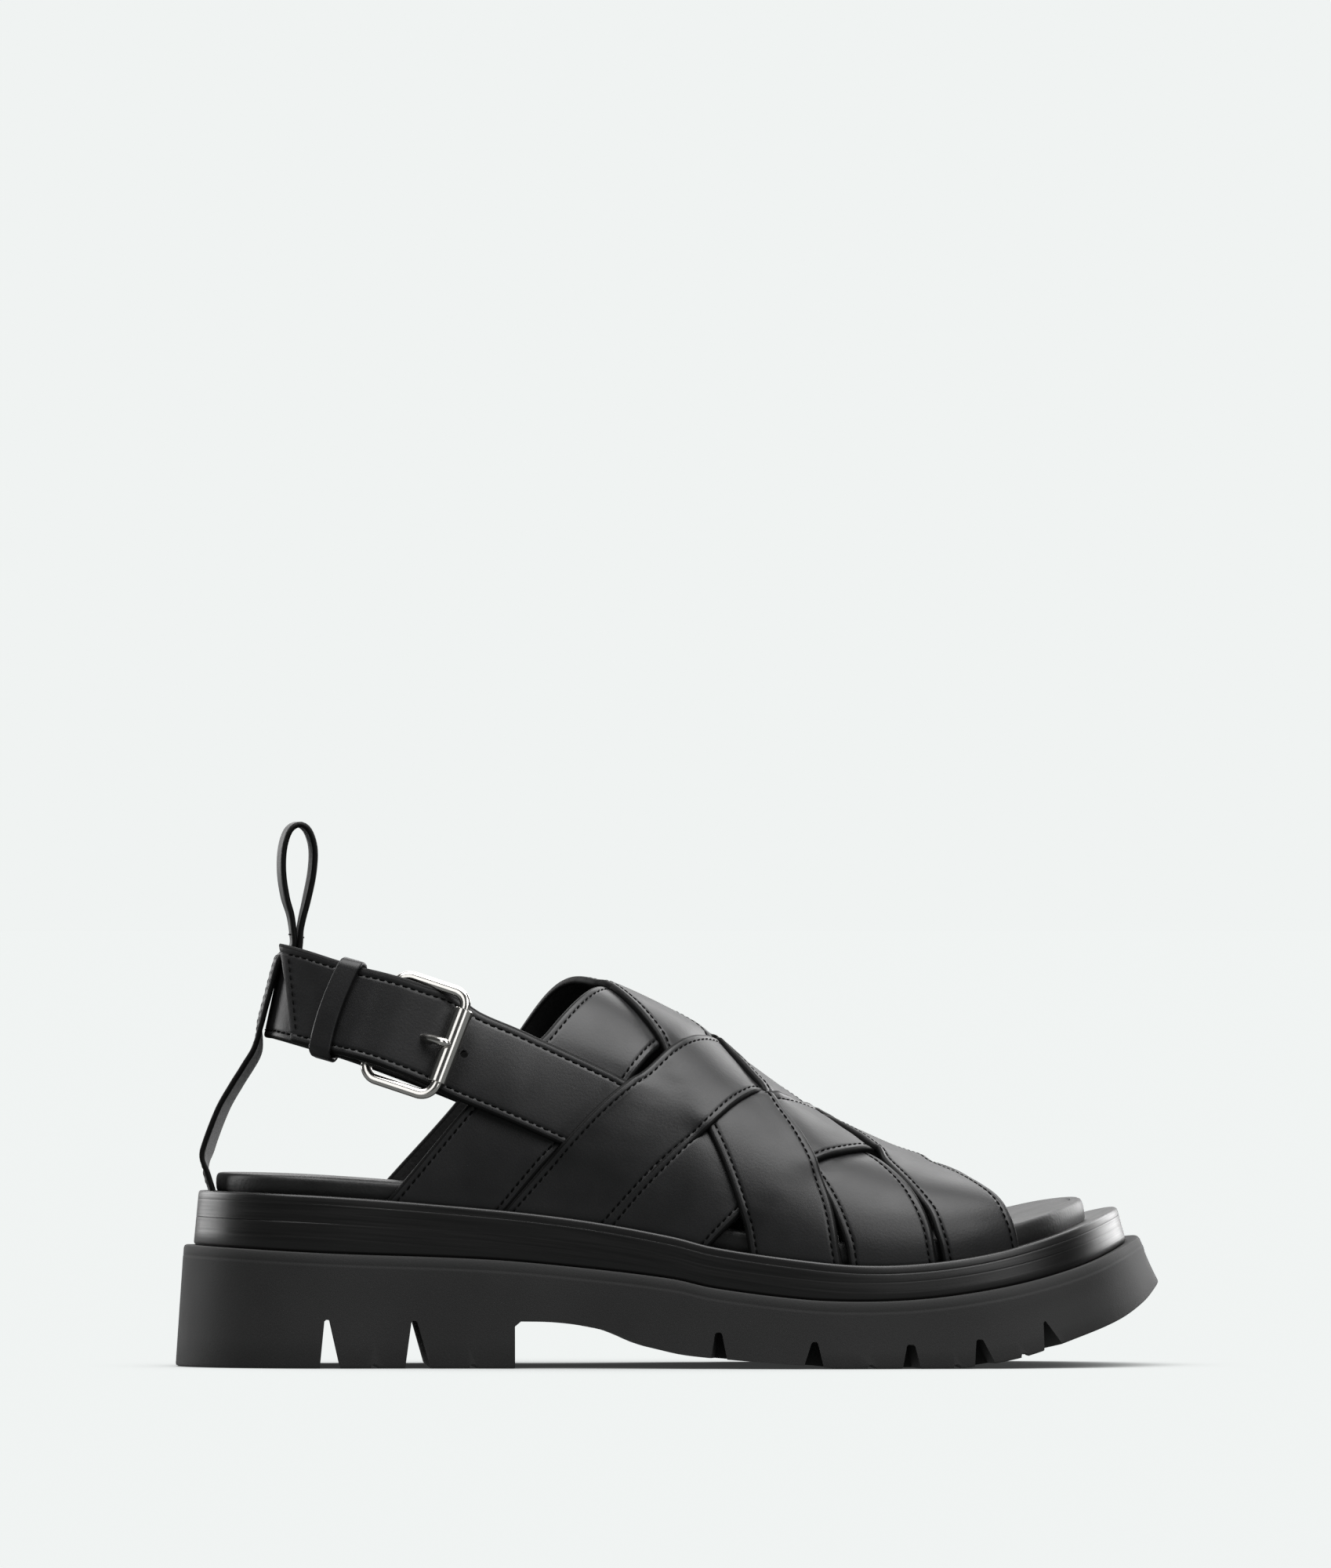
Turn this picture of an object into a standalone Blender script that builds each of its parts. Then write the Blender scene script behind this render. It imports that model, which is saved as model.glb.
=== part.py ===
"""Right-foot strappy sandal on a lugged rubber sole.

Frame: +X toe, +Y medial side, -Y lateral side (buckle), +Z up.
The origin is on the ground, at the middle of the sole's length and width.
Sizes are in millimetres and are turned into metres when a mesh is made.
"""
import math

import bmesh
import bpy
from mathutils import Vector

MM = 0.001
GAP = 0.3

# Driving sizes
OUTLINE_STEPS = 34
STRAP_THICKNESS = 2.2
WEAVE_LIFT = 0.5
STRAP_CLEAR_OF_FOOTBED = 1.7
UPPER_CLEAR_OF_MIDSOLE = 0.3
SLING_WIDTH = 27.6
SLING_LEAN_DEG = 12.0
SLING_OVER_UPPER = 2.8
BUCKLE_WIDTH = 35.8
BUCKLE_WIRE = 2.2
ROLLER_DIAMETER = 4.4
ROLLER_LENGTH = 22.8
PRONG_DIAMETER = 2.2
KEEPER_WIDTH = 6.5
KEEPER_WALL = 1.5
PULL_WIDTH = 17.0
PULL_THICKNESS = 2.0

# Footbed plan, one row a section: along, lateral edge, medial edge
FOOTBED_HEEL = -137.0
FOOTBED_TOE = 129.4
TOE_TIP_OFFSET = 5.0
FOOTBED_PLAN = (
    (-128.0, -20.0, 20.0),
    (-108.0, -31.0, 31.0),
    (-75.0, -33.0, 32.0),
    (-35.0, -37.0, 32.5),
    (5.0, -43.5, 38.0),
    (45.0, -49.2, 46.2),
    (75.5, -47.0, 47.3),
    (101.5, -38.0, 43.5),
    (119.2, -22.5, 30.5),
)

# How far each sole edge stands outside the footbed: heel, sides, toe
MIDSOLE_FOOT = (7.0, 6.0, 12.5)
MIDSOLE_TOP = (5.4, 5.0, 9.6)
OUTSOLE_TOP = (10.0, 8.6, 16.3)
OUTSOLE_FOOT = (12.5, 10.2, 22.5)

# Side profile, one row a section: along, outsole top, midsole top
SOLE_PROFILE = (
    (-150.0, 37.5, 54.6),
    (-106.0, 35.0, 53.0),
    (-56.5, 33.0, 48.8),
    (-26.8, 30.3, 44.8),
    (0.0, 27.0, 39.9),
    (12.0, 24.3, 36.8),
    (39.0, 20.9, 32.8),
    (57.4, 20.2, 31.2),
    (75.7, 20.9, 31.7),
    (94.0, 23.2, 34.1),
    (112.0, 26.9, 38.4),
    (130.5, 32.6, 44.6),
    (150.0, 41.5, 53.0),
)

# Toe spring of the tread, one row a section: along, height
TREAD_PROFILE = (
    (-150.0, 0.0),
    (88.0, 0.0),
    (99.8, 1.8),
    (109.0, 4.0),
    (120.5, 8.0),
    (137.0, 14.3),
    (146.0, 19.8),
    (151.0, 24.5),
)

# Arch between heel breast and forefoot tread: along, height
ARCH_PROFILE = (
    (-48.0, 12.6),
    (-46.2, 14.1),
    (-36.7, 13.9),
    (-26.8, 12.7),
    (-12.9, 9.7),
    (-3.5, 5.9),
    (4.0, 4.0),
    (18.9, 2.5),
    (43.0, 0.6),
)
ARCH_SKEW = -9.0

# Tread notches: foot from, foot to, apex from, apex to, apex height
HEEL_NOTCHES = (
    (-107.3, -101.0, -105.9, -104.2, 14.6),
    (-81.3, -73.6, -79.4, -77.6, 14.3),
)
FOREFOOT_NOTCHES = (
    (10.4, 16.6, 12.2, 14.4, 10.9),
    (38.9, 45.3, 41.4, 43.4, 8.1),
    (69.2, 75.0, 70.6, 73.2, 7.2),
    (91.3, 98.6, 91.9, 94.2, 8.7),
    (111.9, 124.0, 112.6, 113.8, 14.2),
)
NOTCH_DEPTH = 18.0

# Foot form that the straps lie on: along, ridge height, ridge offset, fullness
FOOT_FORM = (
    (-90.0, 124.0, 1.0, 2.7),
    (-60.0, 122.0, 2.0, 2.6),
    (-37.0, 119.0, 3.0, 2.45),
    (-23.0, 117.0, 3.5, 2.35),
    (-8.0, 111.5, 4.0, 2.3),
    (8.8, 103.5, 4.5, 2.25),
    (23.6, 92.5, 5.0, 2.2),
    (44.4, 78.6, 5.5, 2.25),
    (60.5, 71.0, 6.0, 2.3),
    (73.9, 65.2, 6.0, 2.5),
    (92.7, 57.8, 6.0, 2.9),
    (110.0, 51.2, 6.0, 3.2),
)

# Straps: place at each angle from the lateral sole over to the medial sole, width
STRAP_ANGLES = (0.0, 18.0, 40.0, 90.0, 140.0, 162.0, 180.0)
BACK_TO_FRONT = (
    ((-68.2, -50.0, -25.6, 1.2, 25.0, 30.4, 31.8), 29.0),
    ((-34.6, -16.4, 4.2, 32.2, 56.0, 61.8, 63.4), 27.6),
    ((-4.4, 11.2, 29.4, 65.5, 87.4, 91.4, 92.8), 29.4),
)
FRONT_TO_BACK = (
    ((37.2, 34.2, 25.2, -8.0, -31.0, -51.6, -70.8), 27.6),
    ((66.9, 64.6, 57.0, 25.2, 2.0, -15.4, -33.1), 27.2),
    ((94.3, 92.5, 87.8, 61.8, 29.0, 14.6, 3.0), 26.2),
)
STRAP_TUCK_DEG = 9.0

# Heel sling, lateral half, one row a station: along, out from the middle, height
SLING_PATH = (
    (-6.0, 38.5, 69.7),
    (-18.0, 39.6, 75.5),
    (-40.0, 37.5, 85.5),
    (-60.0, 34.2, 93.9),
    (-78.0, 31.6, 100.9),
    (-93.0, 28.2, 106.3),
    (-106.6, 21.5, 110.4),
    (-115.7, 11.5, 113.0),
    (-118.5, 0.0, 113.5),
)
ROLLER_ALONG = -66.2
BAR_ALONG = -88.0
KEEPER_ALONG = -101.0
BAR_LIFT = 0.4
ROLLER_LIFT = 3.8
BILLET_ON_STRAP = 2.6
BILLET_OVER_BAR = 5.6
TIP_ALONG = -118.4
TIP_SLANT = 13.0
PRONG_HOLE = (11.0, 3.2)

# Pull strap: along, height
PULL_PATH = (
    (-138.7, 55.2),
    (-140.2, 60.0),
    (-139.9, 65.5),
    (-135.4, 77.7),
    (-131.0, 85.6),
    (-127.6, 91.0),
    (-125.2, 96.0),
    (-124.3, 99.8),
    (-124.6, 104.2),
    (-123.4, 109.2),
    (-121.5, 116.2),
    (-119.7, 123.0),
    (-118.8, 127.6),
    (-115.7, 130.0),
    (-114.3, 131.4),
    (-114.7, 134.6),
    (-115.9, 141.6),
    (-116.7, 150.6),
    (-116.4, 158.0),
    (-114.8, 163.2),
    (-112.0, 164.9),
    (-109.4, 163.3),
    (-107.8, 158.0),
    (-108.1, 150.6),
    (-109.9, 140.8),
    (-111.4, 134.0),
    (-111.4, 130.4),
    (-110.4, 127.0),
    (-110.8, 122.0),
    (-112.6, 115.0),
    (-114.9, 107.0),
)


def clear_scene():
    for item in list(bpy.data.objects):
        bpy.data.objects.remove(item, do_unlink=True)


def curve_value(rows, column, at):
    """Smooth value of one column of a table at a place along its first column."""
    last = len(rows) - 1
    if at <= rows[0][0]:
        slope = (rows[1][column] - rows[0][column]) / (rows[1][0] - rows[0][0])
        return rows[0][column] + slope * (at - rows[0][0])
    if at >= rows[last][0]:
        slope = (rows[last][column] - rows[last - 1][column]) / (rows[last][0] - rows[last - 1][0])
        return rows[last][column] + slope * (at - rows[last][0])
    k = 0
    while at > rows[k + 1][0]:
        k += 1

    def slope_at(j):
        low = max(j - 1, 0)
        high = min(j + 1, last)
        return (rows[high][column] - rows[low][column]) / (rows[high][0] - rows[low][0])

    span = rows[k + 1][0] - rows[k][0]
    t = (at - rows[k][0]) / span
    a = rows[k][column]
    b = rows[k + 1][column]
    ma = slope_at(k) * span
    mb = slope_at(k + 1) * span
    return (
        (2 * t**3 - 3 * t**2 + 1) * a
        + (t**3 - 2 * t**2 + t) * ma
        + (3 * t**2 - 2 * t**3) * b
        + (t**3 - t**2) * mb
    )


def smooth_path(points, count):
    """Even points along a smooth curve through the given points."""
    dense = []
    last = len(points) - 1
    for k in range(last):
        before = points[max(k - 1, 0)]
        start = points[k]
        end = points[k + 1]
        after = points[min(k + 2, last)]
        for step in range(24):
            t = step / 24
            dense.append(
                0.5
                * (
                    2 * start
                    + (end - before) * t
                    + (2 * before - 5 * start + 4 * end - after) * t**2
                    + (3 * start - before - 3 * end + after) * t**3
                )
            )
    dense.append(points[last])
    lengths = [0.0]
    for a, b in zip(dense, dense[1:]):
        lengths.append(lengths[-1] + (b - a).length)
    result = []
    k = 0
    for step in range(count + 1):
        goal = lengths[-1] * step / count
        while k < len(dense) - 2 and lengths[k + 1] < goal:
            k += 1
        part = (goal - lengths[k]) / max(lengths[k + 1] - lengths[k], 1e-9)
        result.append(dense[k].lerp(dense[k + 1], part))
    return result


def ease(value):
    t = min(max(value, 0.0), 1.0)
    return t * t * (3 - 2 * t)


def footbed_sides():
    """Lateral and medial edges of the footbed, both from heel to toe, with even steps."""
    heel = Vector((FOOTBED_HEEL, 0.0, 0.0))
    toe = Vector((FOOTBED_TOE, TOE_TIP_OFFSET, 0.0))
    control = [heel]
    control += [Vector((along, lateral, 0.0)) for along, lateral, medial in FOOTBED_PLAN]
    control.append(toe)
    control += [Vector((along, medial, 0.0)) for along, lateral, medial in reversed(FOOTBED_PLAN)]
    # The closed loop is run past its start so that heel and toe stay round
    loop = control[-2:] + control + control[:3]
    dense = smooth_path(loop, 900)
    start = min(range(len(dense) // 2), key=lambda i: (dense[i] - heel).length)
    finish = start + 1 + min(
        range(len(dense) - start - 1),
        key=lambda i: (dense[start + 1 + i] - toe).length,
    )
    close = finish + 1 + min(
        range(len(dense) - finish - 1),
        key=lambda i: (dense[finish + 1 + i] - heel).length,
    )
    lateral = spread(dense[start : finish + 1])
    medial = spread(list(reversed(dense[finish : close + 1])))
    return lateral, medial


def spread(points):
    """Steps along an edge, closer together at the heel and toe."""
    even = smooth_path(points, 400)
    result = []
    for step in range(OUTLINE_STEPS + 1):
        t = step / OUTLINE_STEPS
        t = 0.55 * t + 0.45 * (1 - math.cos(math.pi * t)) / 2
        result.append(even[round(t * 400)])
    return result


LATERAL_EDGE, MEDIAL_EDGE = footbed_sides()


def grown(edge, side, amounts):
    """An edge moved outward by amounts given for the heel, the sides and the toe."""
    result = []
    for i, point in enumerate(edge):
        ahead = edge[min(i + 1, len(edge) - 1)] - edge[max(i - 1, 0)]
        if i in (0, len(edge) - 1):
            ahead = Vector((0.0, side if i == 0 else -side, 0.0))
        outward = Vector((ahead.y, -ahead.x, 0.0)).normalized() * -side
        heel, middle, toe = amounts
        amount = heel + (middle - heel) * ease((point.x + 130) / 45)
        amount += (toe - middle) * ease((point.x - 70) / 55)
        result.append(point + outward * amount)
    return result


def outline(amounts, height):
    """Closed outline round the sole, lateral side first, at a height that depends on the place."""
    ring = grown(LATERAL_EDGE, -1.0, amounts)
    ring += list(reversed(grown(MEDIAL_EDGE, 1.0, amounts)))[1:-1]
    return [Vector((p.x, p.y, height(p.x))) for p in ring]


def outsole_top(along):
    return curve_value(SOLE_PROFILE, 1, along)


def midsole_top(along):
    return curve_value(SOLE_PROFILE, 2, along)


def tread(along):
    if along <= TREAD_PROFILE[1][0]:
        return 0.0
    return curve_value(TREAD_PROFILE[1:], 1, along)


def material(name, color, roughness, metallic=0.0):
    shader = bpy.data.materials.new(name)
    shader.use_nodes = True
    node = shader.node_tree.nodes["Principled BSDF"]
    node.inputs["Base Color"].default_value = (*color, 1.0)
    node.inputs["Roughness"].default_value = roughness
    node.inputs["Metallic"].default_value = metallic
    return shader


def add_object(name, mesh, collection, shader=None):
    item = bpy.data.objects.new(name, mesh)
    collection.objects.link(item)
    if shader:
        mesh.materials.append(shader)
    else:
        item.hide_render = True
        item.display_type = "WIRE"
    return item


def finish_mesh(name, bm):
    for vert in bm.verts:
        vert.co *= MM
    bmesh.ops.recalc_face_normals(bm, faces=bm.faces)
    mesh = bpy.data.meshes.new(name)
    bm.to_mesh(mesh)
    bm.free()
    return mesh


def loft(name, rings, crown=None):
    """Closed solid through matching outlines, with caps made of strips across the sole."""
    bm = bmesh.new()
    count = len(rings[0])
    half = count // 2
    rows = [[bm.verts.new(point) for point in ring] for ring in rings]
    for low, high in zip(rows, rows[1:]):
        for i in range(count):
            j = (i + 1) % count
            bm.faces.new((low[i], low[j], high[j], high[i]))
    for row, inner in ((rows[0], None), (rows[-1], crown)):
        strips = [[row[0]]]
        for i in range(1, half):
            near = row[i]
            far = row[count - i]
            middle = []
            if inner:
                for share in (0.2, 0.5, 0.8):
                    place = near.co.lerp(far.co, share)
                    place.z -= inner(place.x) * (1 - (2 * share - 1) ** 2)
                    middle.append(bm.verts.new(place))
            strips.append([near] + middle + [far])
        strips.append([row[half]])
        for back, front in zip(strips, strips[1:]):
            if len(back) == 1:
                for a, b in zip(front, front[1:]):
                    bm.faces.new((back[0], a, b))
            elif len(front) == 1:
                for a, b in zip(back, back[1:]):
                    bm.faces.new((a, b, front[0]))
            else:
                for k in range(len(back) - 1):
                    bm.faces.new((back[k], front[k], front[k + 1], back[k + 1]))
    return finish_mesh(name, bm)


def prism(name, left, right):
    """Closed solid between two matching outlines on either side of the sole."""
    bm = bmesh.new()
    near = [bm.verts.new(point) for point in left]
    far = [bm.verts.new(point) for point in right]
    for i in range(len(near)):
        j = (i + 1) % len(near)
        bm.faces.new((near[i], near[j], far[j], far[i]))
    bm.faces.new(near)
    bm.faces.new(list(reversed(far)))
    return finish_mesh(name, bm)


def boolean(item, cutter, operation, solver="EXACT"):
    change = item.modifiers.new(cutter.name, "BOOLEAN")
    change.operation = operation
    change.object = cutter
    change.solver = solver


def sheet(name, rows, thickness, collection, shader=None):
    """Strip of leather: a grid laid on rows of points, thickened evenly on both faces."""
    bm = bmesh.new()
    long_steps = len(rows) - 1
    wide_steps = len(rows[0]) - 1
    bmesh.ops.create_grid(bm, x_segments=long_steps, y_segments=wide_steps, size=1.0)
    bm.verts.ensure_lookup_table()
    for vert in bm.verts:
        i = round((vert.co.x + 1) / 2 * long_steps)
        j = round((vert.co.y + 1) / 2 * wide_steps)
        vert.co = rows[i][j] * MM
    mesh = bpy.data.meshes.new(name)
    bm.to_mesh(mesh)
    bm.free()
    item = add_object(name, mesh, collection, shader)
    wall = item.modifiers.new("wall", "SOLIDIFY")
    wall.thickness = thickness * MM
    wall.offset = 0.0
    wall.use_even_offset = True
    return item


# Foot form


def edge_at(edge, along):
    for a, b in zip(edge, edge[1:]):
        if a.x <= along <= b.x:
            return a.y + (b.y - a.y) * (along - a.x) / max(b.x - a.x, 1e-6)
    return edge[0].y if along < edge[0].x else edge[-1].y


def form_point(along, angle):
    """Point on the foot form: angle 0 at the lateral sole, 90 on the ridge, 180 at the medial sole."""
    base = midsole_top(along)
    rise = curve_value(FOOT_FORM, 1, along) - base
    middle = curve_value(FOOT_FORM, 2, along)
    fullness = curve_value(FOOT_FORM, 3, along)
    lateral = edge_at(LATERAL_EDGE, along) - STRAP_CLEAR_OF_FOOTBED
    medial = edge_at(MEDIAL_EDGE, along) + STRAP_CLEAR_OF_FOOTBED
    inside = min(max(angle, 0.0), 180.0)
    below = math.radians(abs(angle - inside))
    turn = math.radians(inside)
    out = abs(math.cos(turn))
    up = math.sin(turn)
    reach = (out**fullness + up**fullness) ** (-1 / fullness)
    edge = lateral if inside < 90 else medial
    return Vector((along, middle + (edge - middle) * out * reach, base + rise * (up * reach - below)))


def form_frame(along, angle):
    place = form_point(along, angle)
    ahead = form_point(along + 0.5, angle) - form_point(along - 0.5, angle)
    around = form_point(along, angle + 0.5) - form_point(along, angle - 0.5)
    outward = around.cross(ahead).normalized() * -1
    return place, ahead, around, outward


def walk(along, angle, direction, distance, steps):
    """Step across the foot form from one of its points, staying on it."""
    for _ in range(steps):
        place, ahead, around, outward = form_frame(along, angle)
        move = direction - outward * direction.dot(outward)
        move = move.normalized() * (distance / steps)
        aa = ahead.dot(ahead)
        ab = ahead.dot(around)
        bb = around.dot(around)
        ma = move.dot(ahead)
        mb = move.dot(around)
        det = aa * bb - ab * ab
        along += (ma * bb - mb * ab) / det
        angle += (mb * aa - ma * ab) / det
    return along, angle


def strap_sizes(index, back_to_front):
    return (BACK_TO_FRONT if back_to_front else FRONT_TO_BACK)[index]


def strap_line(index, back_to_front, angle):
    places, width = strap_sizes(index, back_to_front)
    return curve_value(list(zip(STRAP_ANGLES, places)), 1, angle)


def crossing(index, other):
    """Angle where a strap of one set meets a strap of the other set."""
    low, high = 0.0, 180.0
    for _ in range(40):
        middle = (low + high) / 2
        if strap_line(index, False, middle) > strap_line(other, True, middle):
            low = middle
        else:
            high = middle
    return (low + high) / 2


def weave_heights(index, back_to_front):
    """Angles and heights of a strap at its crossings, flat again at the sole."""
    stops = [(-30.0, 0.0), (2.0, 0.0)]
    for other in range(len(BACK_TO_FRONT)):
        first, second = (other, index) if back_to_front else (index, other)
        forward_set_over = (first - second) % 2 == 0
        over = forward_set_over != back_to_front
        stops.append((crossing(first, second), WEAVE_LIFT if over else -WEAVE_LIFT))
    stops += [(178.0, 0.0), (210.0, 0.0)]
    return sorted(stops)


def weave_lift(stops, angle):
    for (a, low), (b, high) in zip(stops, stops[1:]):
        if a <= angle <= b:
            return low + (high - low) * ease((angle - a) / (b - a))
    return 0.0


def strap_rows(index, back_to_front, long_steps=32, wide_steps=4):
    width = strap_sizes(index, back_to_front)[1]
    stops = weave_heights(index, back_to_front)
    rows = []
    for step in range(long_steps + 1):
        angle = -STRAP_TUCK_DEG + (180 + 2 * STRAP_TUCK_DEG) * step / long_steps
        along = strap_line(index, back_to_front, angle)
        place, ahead, around, outward = form_frame(along, angle)
        later = form_point(strap_line(index, back_to_front, angle + 1), angle + 1)
        across = outward.cross(later - place).normalized()
        lift = weave_lift(stops, angle)
        row = []
        for k in range(wide_steps + 1):
            offset = width * (k / wide_steps - 0.5)
            spot = walk(along, angle, across * (1 if offset > 0 else -1), abs(offset), 4)
            on_form, _, _, out = form_frame(*spot)
            row.append(on_form + out * lift)
        rows.append(row)
    return rows


# Heel sling


def sling_middle():
    lateral = [Vector((along, -out, height)) for along, out, height in SLING_PATH]
    medial = [Vector((along, out, height)) for along, out, height in reversed(SLING_PATH[:-1])]
    return smooth_path(lateral + medial, 600)


SLING = sling_middle()


def form_side(along, height, side):
    """How far out the foot form stands at a height, with the slope of its wall."""
    low, high = (0.0, 89.0) if side < 0 else (91.0, 180.0)
    for _ in range(30):
        middle = (low + high) / 2
        above = form_point(along, middle).z > height
        if above == (side < 0):
            high = middle
        else:
            low = middle
    angle = (low + high) / 2
    place, _, _, outward = form_frame(along, angle)
    return place.y + SLING_OVER_UPPER / outward.y


def sling_point(part, across):
    """Point on the sling's middle layer: part 0 to 1 from lateral front to medial front."""
    spot = min(max(part, 0.0), 1.0) * 600
    k = min(int(spot), 599)
    place = SLING[k].lerp(SLING[k + 1], spot - k)
    ahead = (SLING[min(k + 6, 600)] - SLING[max(k - 6, 0)]).normalized()
    inward = ahead.cross(Vector((0.0, 0.0, 1.0))).normalized() * -1
    upward = inward.cross(ahead).normalized() * -1
    if upward.z < 0:
        upward = -upward
    if inward.dot(Vector((-75.0, 0.0, place.z)) - place) < 0:
        inward = -inward
    lean = math.radians(SLING_LEAN_DEG)
    result = place + (upward * math.cos(lean) + inward * math.sin(lean)) * across
    on_form = ease((result.x + 74) / 20)
    if on_form > 0:
        side = -1.0 if part < 0.5 else 1.0
        result.y += (form_side(result.x, result.z, side) - result.y) * on_form
    return result


def sling_frame(part, across):
    place = sling_point(part, across)
    ahead = (sling_point(part + 0.002, across) - sling_point(part - 0.002, across)).normalized()
    up = sling_point(part, across + 0.5) - sling_point(part, across - 0.5)
    outward = ahead.cross(up).normalized()
    if outward.dot(place - Vector((-75.0, 0.0, place.z))) < 0:
        outward = -outward
    return place, ahead, up.normalized(), outward


def sling_part(along, side=-1.0):
    """Part of the sling where its middle line reaches a place on one side."""
    low, high = (0.0, 0.5) if side < 0 else (0.5, 1.0)
    for _ in range(30):
        middle = (low + high) / 2
        behind = sling_point(middle, 0.0).x < along
        if behind == (side < 0):
            high = middle
        else:
            low = middle
    return (low + high) / 2


def sling_end(across, side):
    """Part of the sling where it meets the second strap, a little short of that strap's edge."""
    back_to_front = side < 0
    rows = strap_rows(1, back_to_front, 36, 2)
    edges = [[row[0] for row in rows], [row[-1] for row in rows]]
    rear = min(edges, key=lambda edge: sum(p.x for p in edge))
    best = None
    for step in range(160):
        part = 0.4 * step / 160
        if side > 0:
            part = 1 - part
        place = sling_point(part, across)
        near = min(rear, key=lambda p: abs(p.z - place.z) + (1000 if p.y * side < 0 else 0))
        if place.x < near.x - 2.4:
            best = part
            break
    return best


def billet_lift(part):
    """Height of the buckle strap over the sling's middle layer."""
    stops = (
        (0.0, 0.0),
        (sling_part(ROLLER_ALONG + 6.0), 0.0),
        (sling_part(ROLLER_ALONG - 1.0), 0.0),
        (sling_part(BAR_ALONG + 2.0), BILLET_OVER_BAR),
        (sling_part(BAR_ALONG - 2.0), BILLET_OVER_BAR),
        (sling_part(BAR_ALONG - 8.5), BILLET_ON_STRAP),
        (1.0, BILLET_ON_STRAP),
    )
    for (a, low), (b, high) in zip(stops, stops[1:]):
        if a <= part <= b:
            return low + (high - low) * ease((part - a) / (b - a))
    return 0.0


def sling_rows(start, end, lift, long_steps, wide_steps=4):
    """Rows along the sling between two slanted ends."""
    rows = []
    for step in range(long_steps + 1):
        row = []
        for k in range(wide_steps + 1):
            across = SLING_WIDTH * (k / wide_steps - 0.5)
            part = start(across) + (end(across) - start(across)) * step / long_steps
            place, _, _, outward = sling_frame(part, across)
            row.append(place + outward * lift(part))
        rows.append(row)
    return rows


def tube(name, path, diameter, closed, collection, shader, sides_resolution=2):
    """Round wire along a path, as a closed mesh."""
    data = bpy.data.curves.new(name, "CURVE")
    data.dimensions = "3D"
    data.bevel_depth = diameter / 2 * MM
    data.bevel_resolution = sides_resolution
    data.use_fill_caps = True
    line = data.splines.new("POLY")
    line.points.add(len(path) - 1)
    for point, place in zip(line.points, path):
        point.co = (*(place * MM), 1.0)
    line.use_cyclic_u = closed
    guide = bpy.data.objects.new(name + "_line", data)
    bpy.context.scene.collection.objects.link(guide)
    bpy.context.view_layer.update()
    ready = guide.evaluated_get(bpy.context.evaluated_depsgraph_get())
    mesh = bpy.data.meshes.new_from_object(ready)
    bpy.data.objects.remove(guide, do_unlink=True)
    bm = bmesh.new()
    bm.from_mesh(mesh)
    bmesh.ops.remove_doubles(bm, verts=bm.verts, dist=1e-6)
    bmesh.ops.recalc_face_normals(bm, faces=bm.faces)
    bm.to_mesh(mesh)
    bm.free()
    mesh.name = name
    mesh.materials.clear()
    return add_object(name, mesh, collection, shader)


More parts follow.
